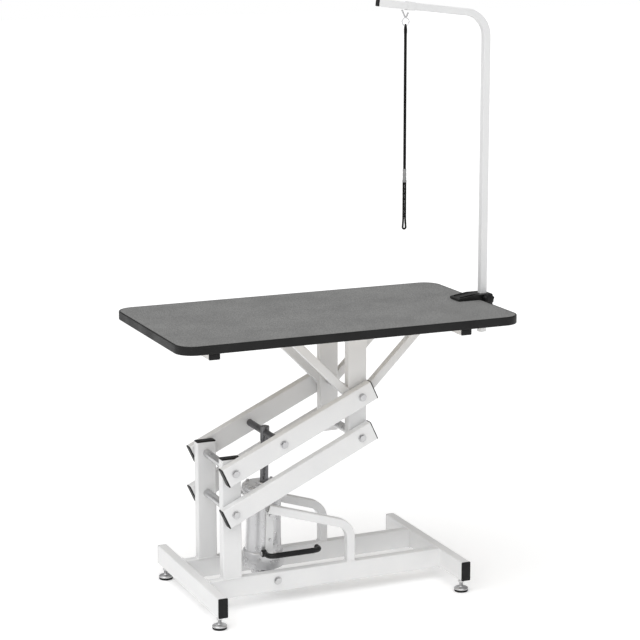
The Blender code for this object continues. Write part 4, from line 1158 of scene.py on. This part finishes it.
LOCK_Z = 0.862
turned("arm_lock_knob_grip", black_plastic, "lock_knob", [
    (0.0, 0.024), (0.009, 0.024), (0.0105, 0.0234), (0.011, 0.0222), (0.014, 0.0218),
    (0.0164, 0.0202), (0.017, 0.018), (0.017, 0.0085), (0.016, 0.0064), (0.013, 0.005),
    (0.0085, 0.0044), (0.0065, 0.0036), (0.0062, 0.0004), (0.0, 0.0004),
], (POLE_X, clamp_low[1], LOCK_Z), (0, -1, 0), 70, ["arm_lock_knob"], 40, lobes=7,
       lobe_depth=LOBE_DEPTH)


# Grooming arm -------------------------------------------------------------
# A 22 mm square tube bent over the table: an upright pole and a boom that
# rises a little to its free end, closed by a black plug. A white sleeve with an
# open zinc hook slides along the boom.
POLE_TOP = 1.7315
BOOM_RISE = 6.5
BOOM_END_X = 0.176
BOOM_BEND = 0.075
rise = math.radians(BOOM_RISE)
pole_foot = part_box("grooming_arm")[0][2]
path = bent_path(POLE_X, pole_foot, POLE_TOP, BOOM_BEND, BOOM_RISE,
                 (POLE_X - BOOM_END_X) / math.cos(rise), 28)
boom_end = path[-1]
arm = bmesh.new()
sweep_tube(arm, [(x, POLE_Y, z) for x, z in path], (0, 1, 0), POLE, POLE, 0.0026, 0.0015)
place("grooming_arm_tube", arm, white_coat, "pole", "grooming_arm", angle=30)
plug = bmesh.new()
boom_out = Vector((-math.cos(rise), 0.0, math.sin(rise)))
end_plug(plug, (boom_end[0], POLE_Y, boom_end[1]), boom_out, (0, 1, 0), POLE - 0.0002, POLE - 0.0002)
place("grooming_arm_plug", plug, black_plastic, "pole", "arm_end_plug", angle=50)
foot_plug = bmesh.new()
end_plug(foot_plug, (POLE_X, POLE_Y, pole_foot + 0.0038), (0, 0, -1), (0, 1, 0),
         POLE - 0.0036, POLE - 0.0036)
place("grooming_arm_foot_plug", foot_plug, black_plastic, "pole", angle=50)

EYE_X = 0.2805
EYE_HALF = 0.012
eye_z = POLE_TOP - (EYE_X - POLE_X) * math.tan(rise)
eye_at = Vector((EYE_X, POLE_Y, eye_z))
eye = bmesh.new()
sweep_tube(eye, [eye_at - boom_out * EYE_HALF, eye_at + boom_out * EYE_HALF], (0, 1, 0),
           POLE + 0.0034, POLE + 0.0034, 0.003, 0.0014)
place("arm_eye_sleeve", eye, white_coat, "sliding_eye", "arm_eye", angle=35)

# The hook under the sleeve: a round bar bent to a narrow V, its free end short
HOOK_RADIUS = 0.0027
HOOK_BEND = 0.0036
HOOK_TIP = 0.0125
hook_top = eye_z - POLE / 2
hook_low = RING_MIDDLE + RING_RADIUS + 0.0024
HOOK_HALF = 0.01
rise = math.atan2(hook_top - hook_low, HOOK_HALF)
up_right = Vector((math.cos(rise), 0.0, math.sin(rise)))
up_left = Vector((-up_right.x, 0.0, up_right.z))
low_arc = arc_points((LEASH_X, hook_low + HOOK_BEND), HOOK_BEND, 270 - math.degrees(rise),
                     270 + math.degrees(rise), 12)
hook_path = [Vector((x, POLE_Y, z)) for x, z in low_arc]
hook_stem = (hook_top - hook_path[0].z) / up_right.z
hook_path = [hook_path[0] + up_left * hook_stem] + hook_path + [hook_path[-1] + up_right * HOOK_TIP]
hook = bmesh.new()
round_rod(hook, hook_path, HOOK_RADIUS, 16)
place("arm_eye_hook", hook, zinc, "sliding_eye", angle=60)
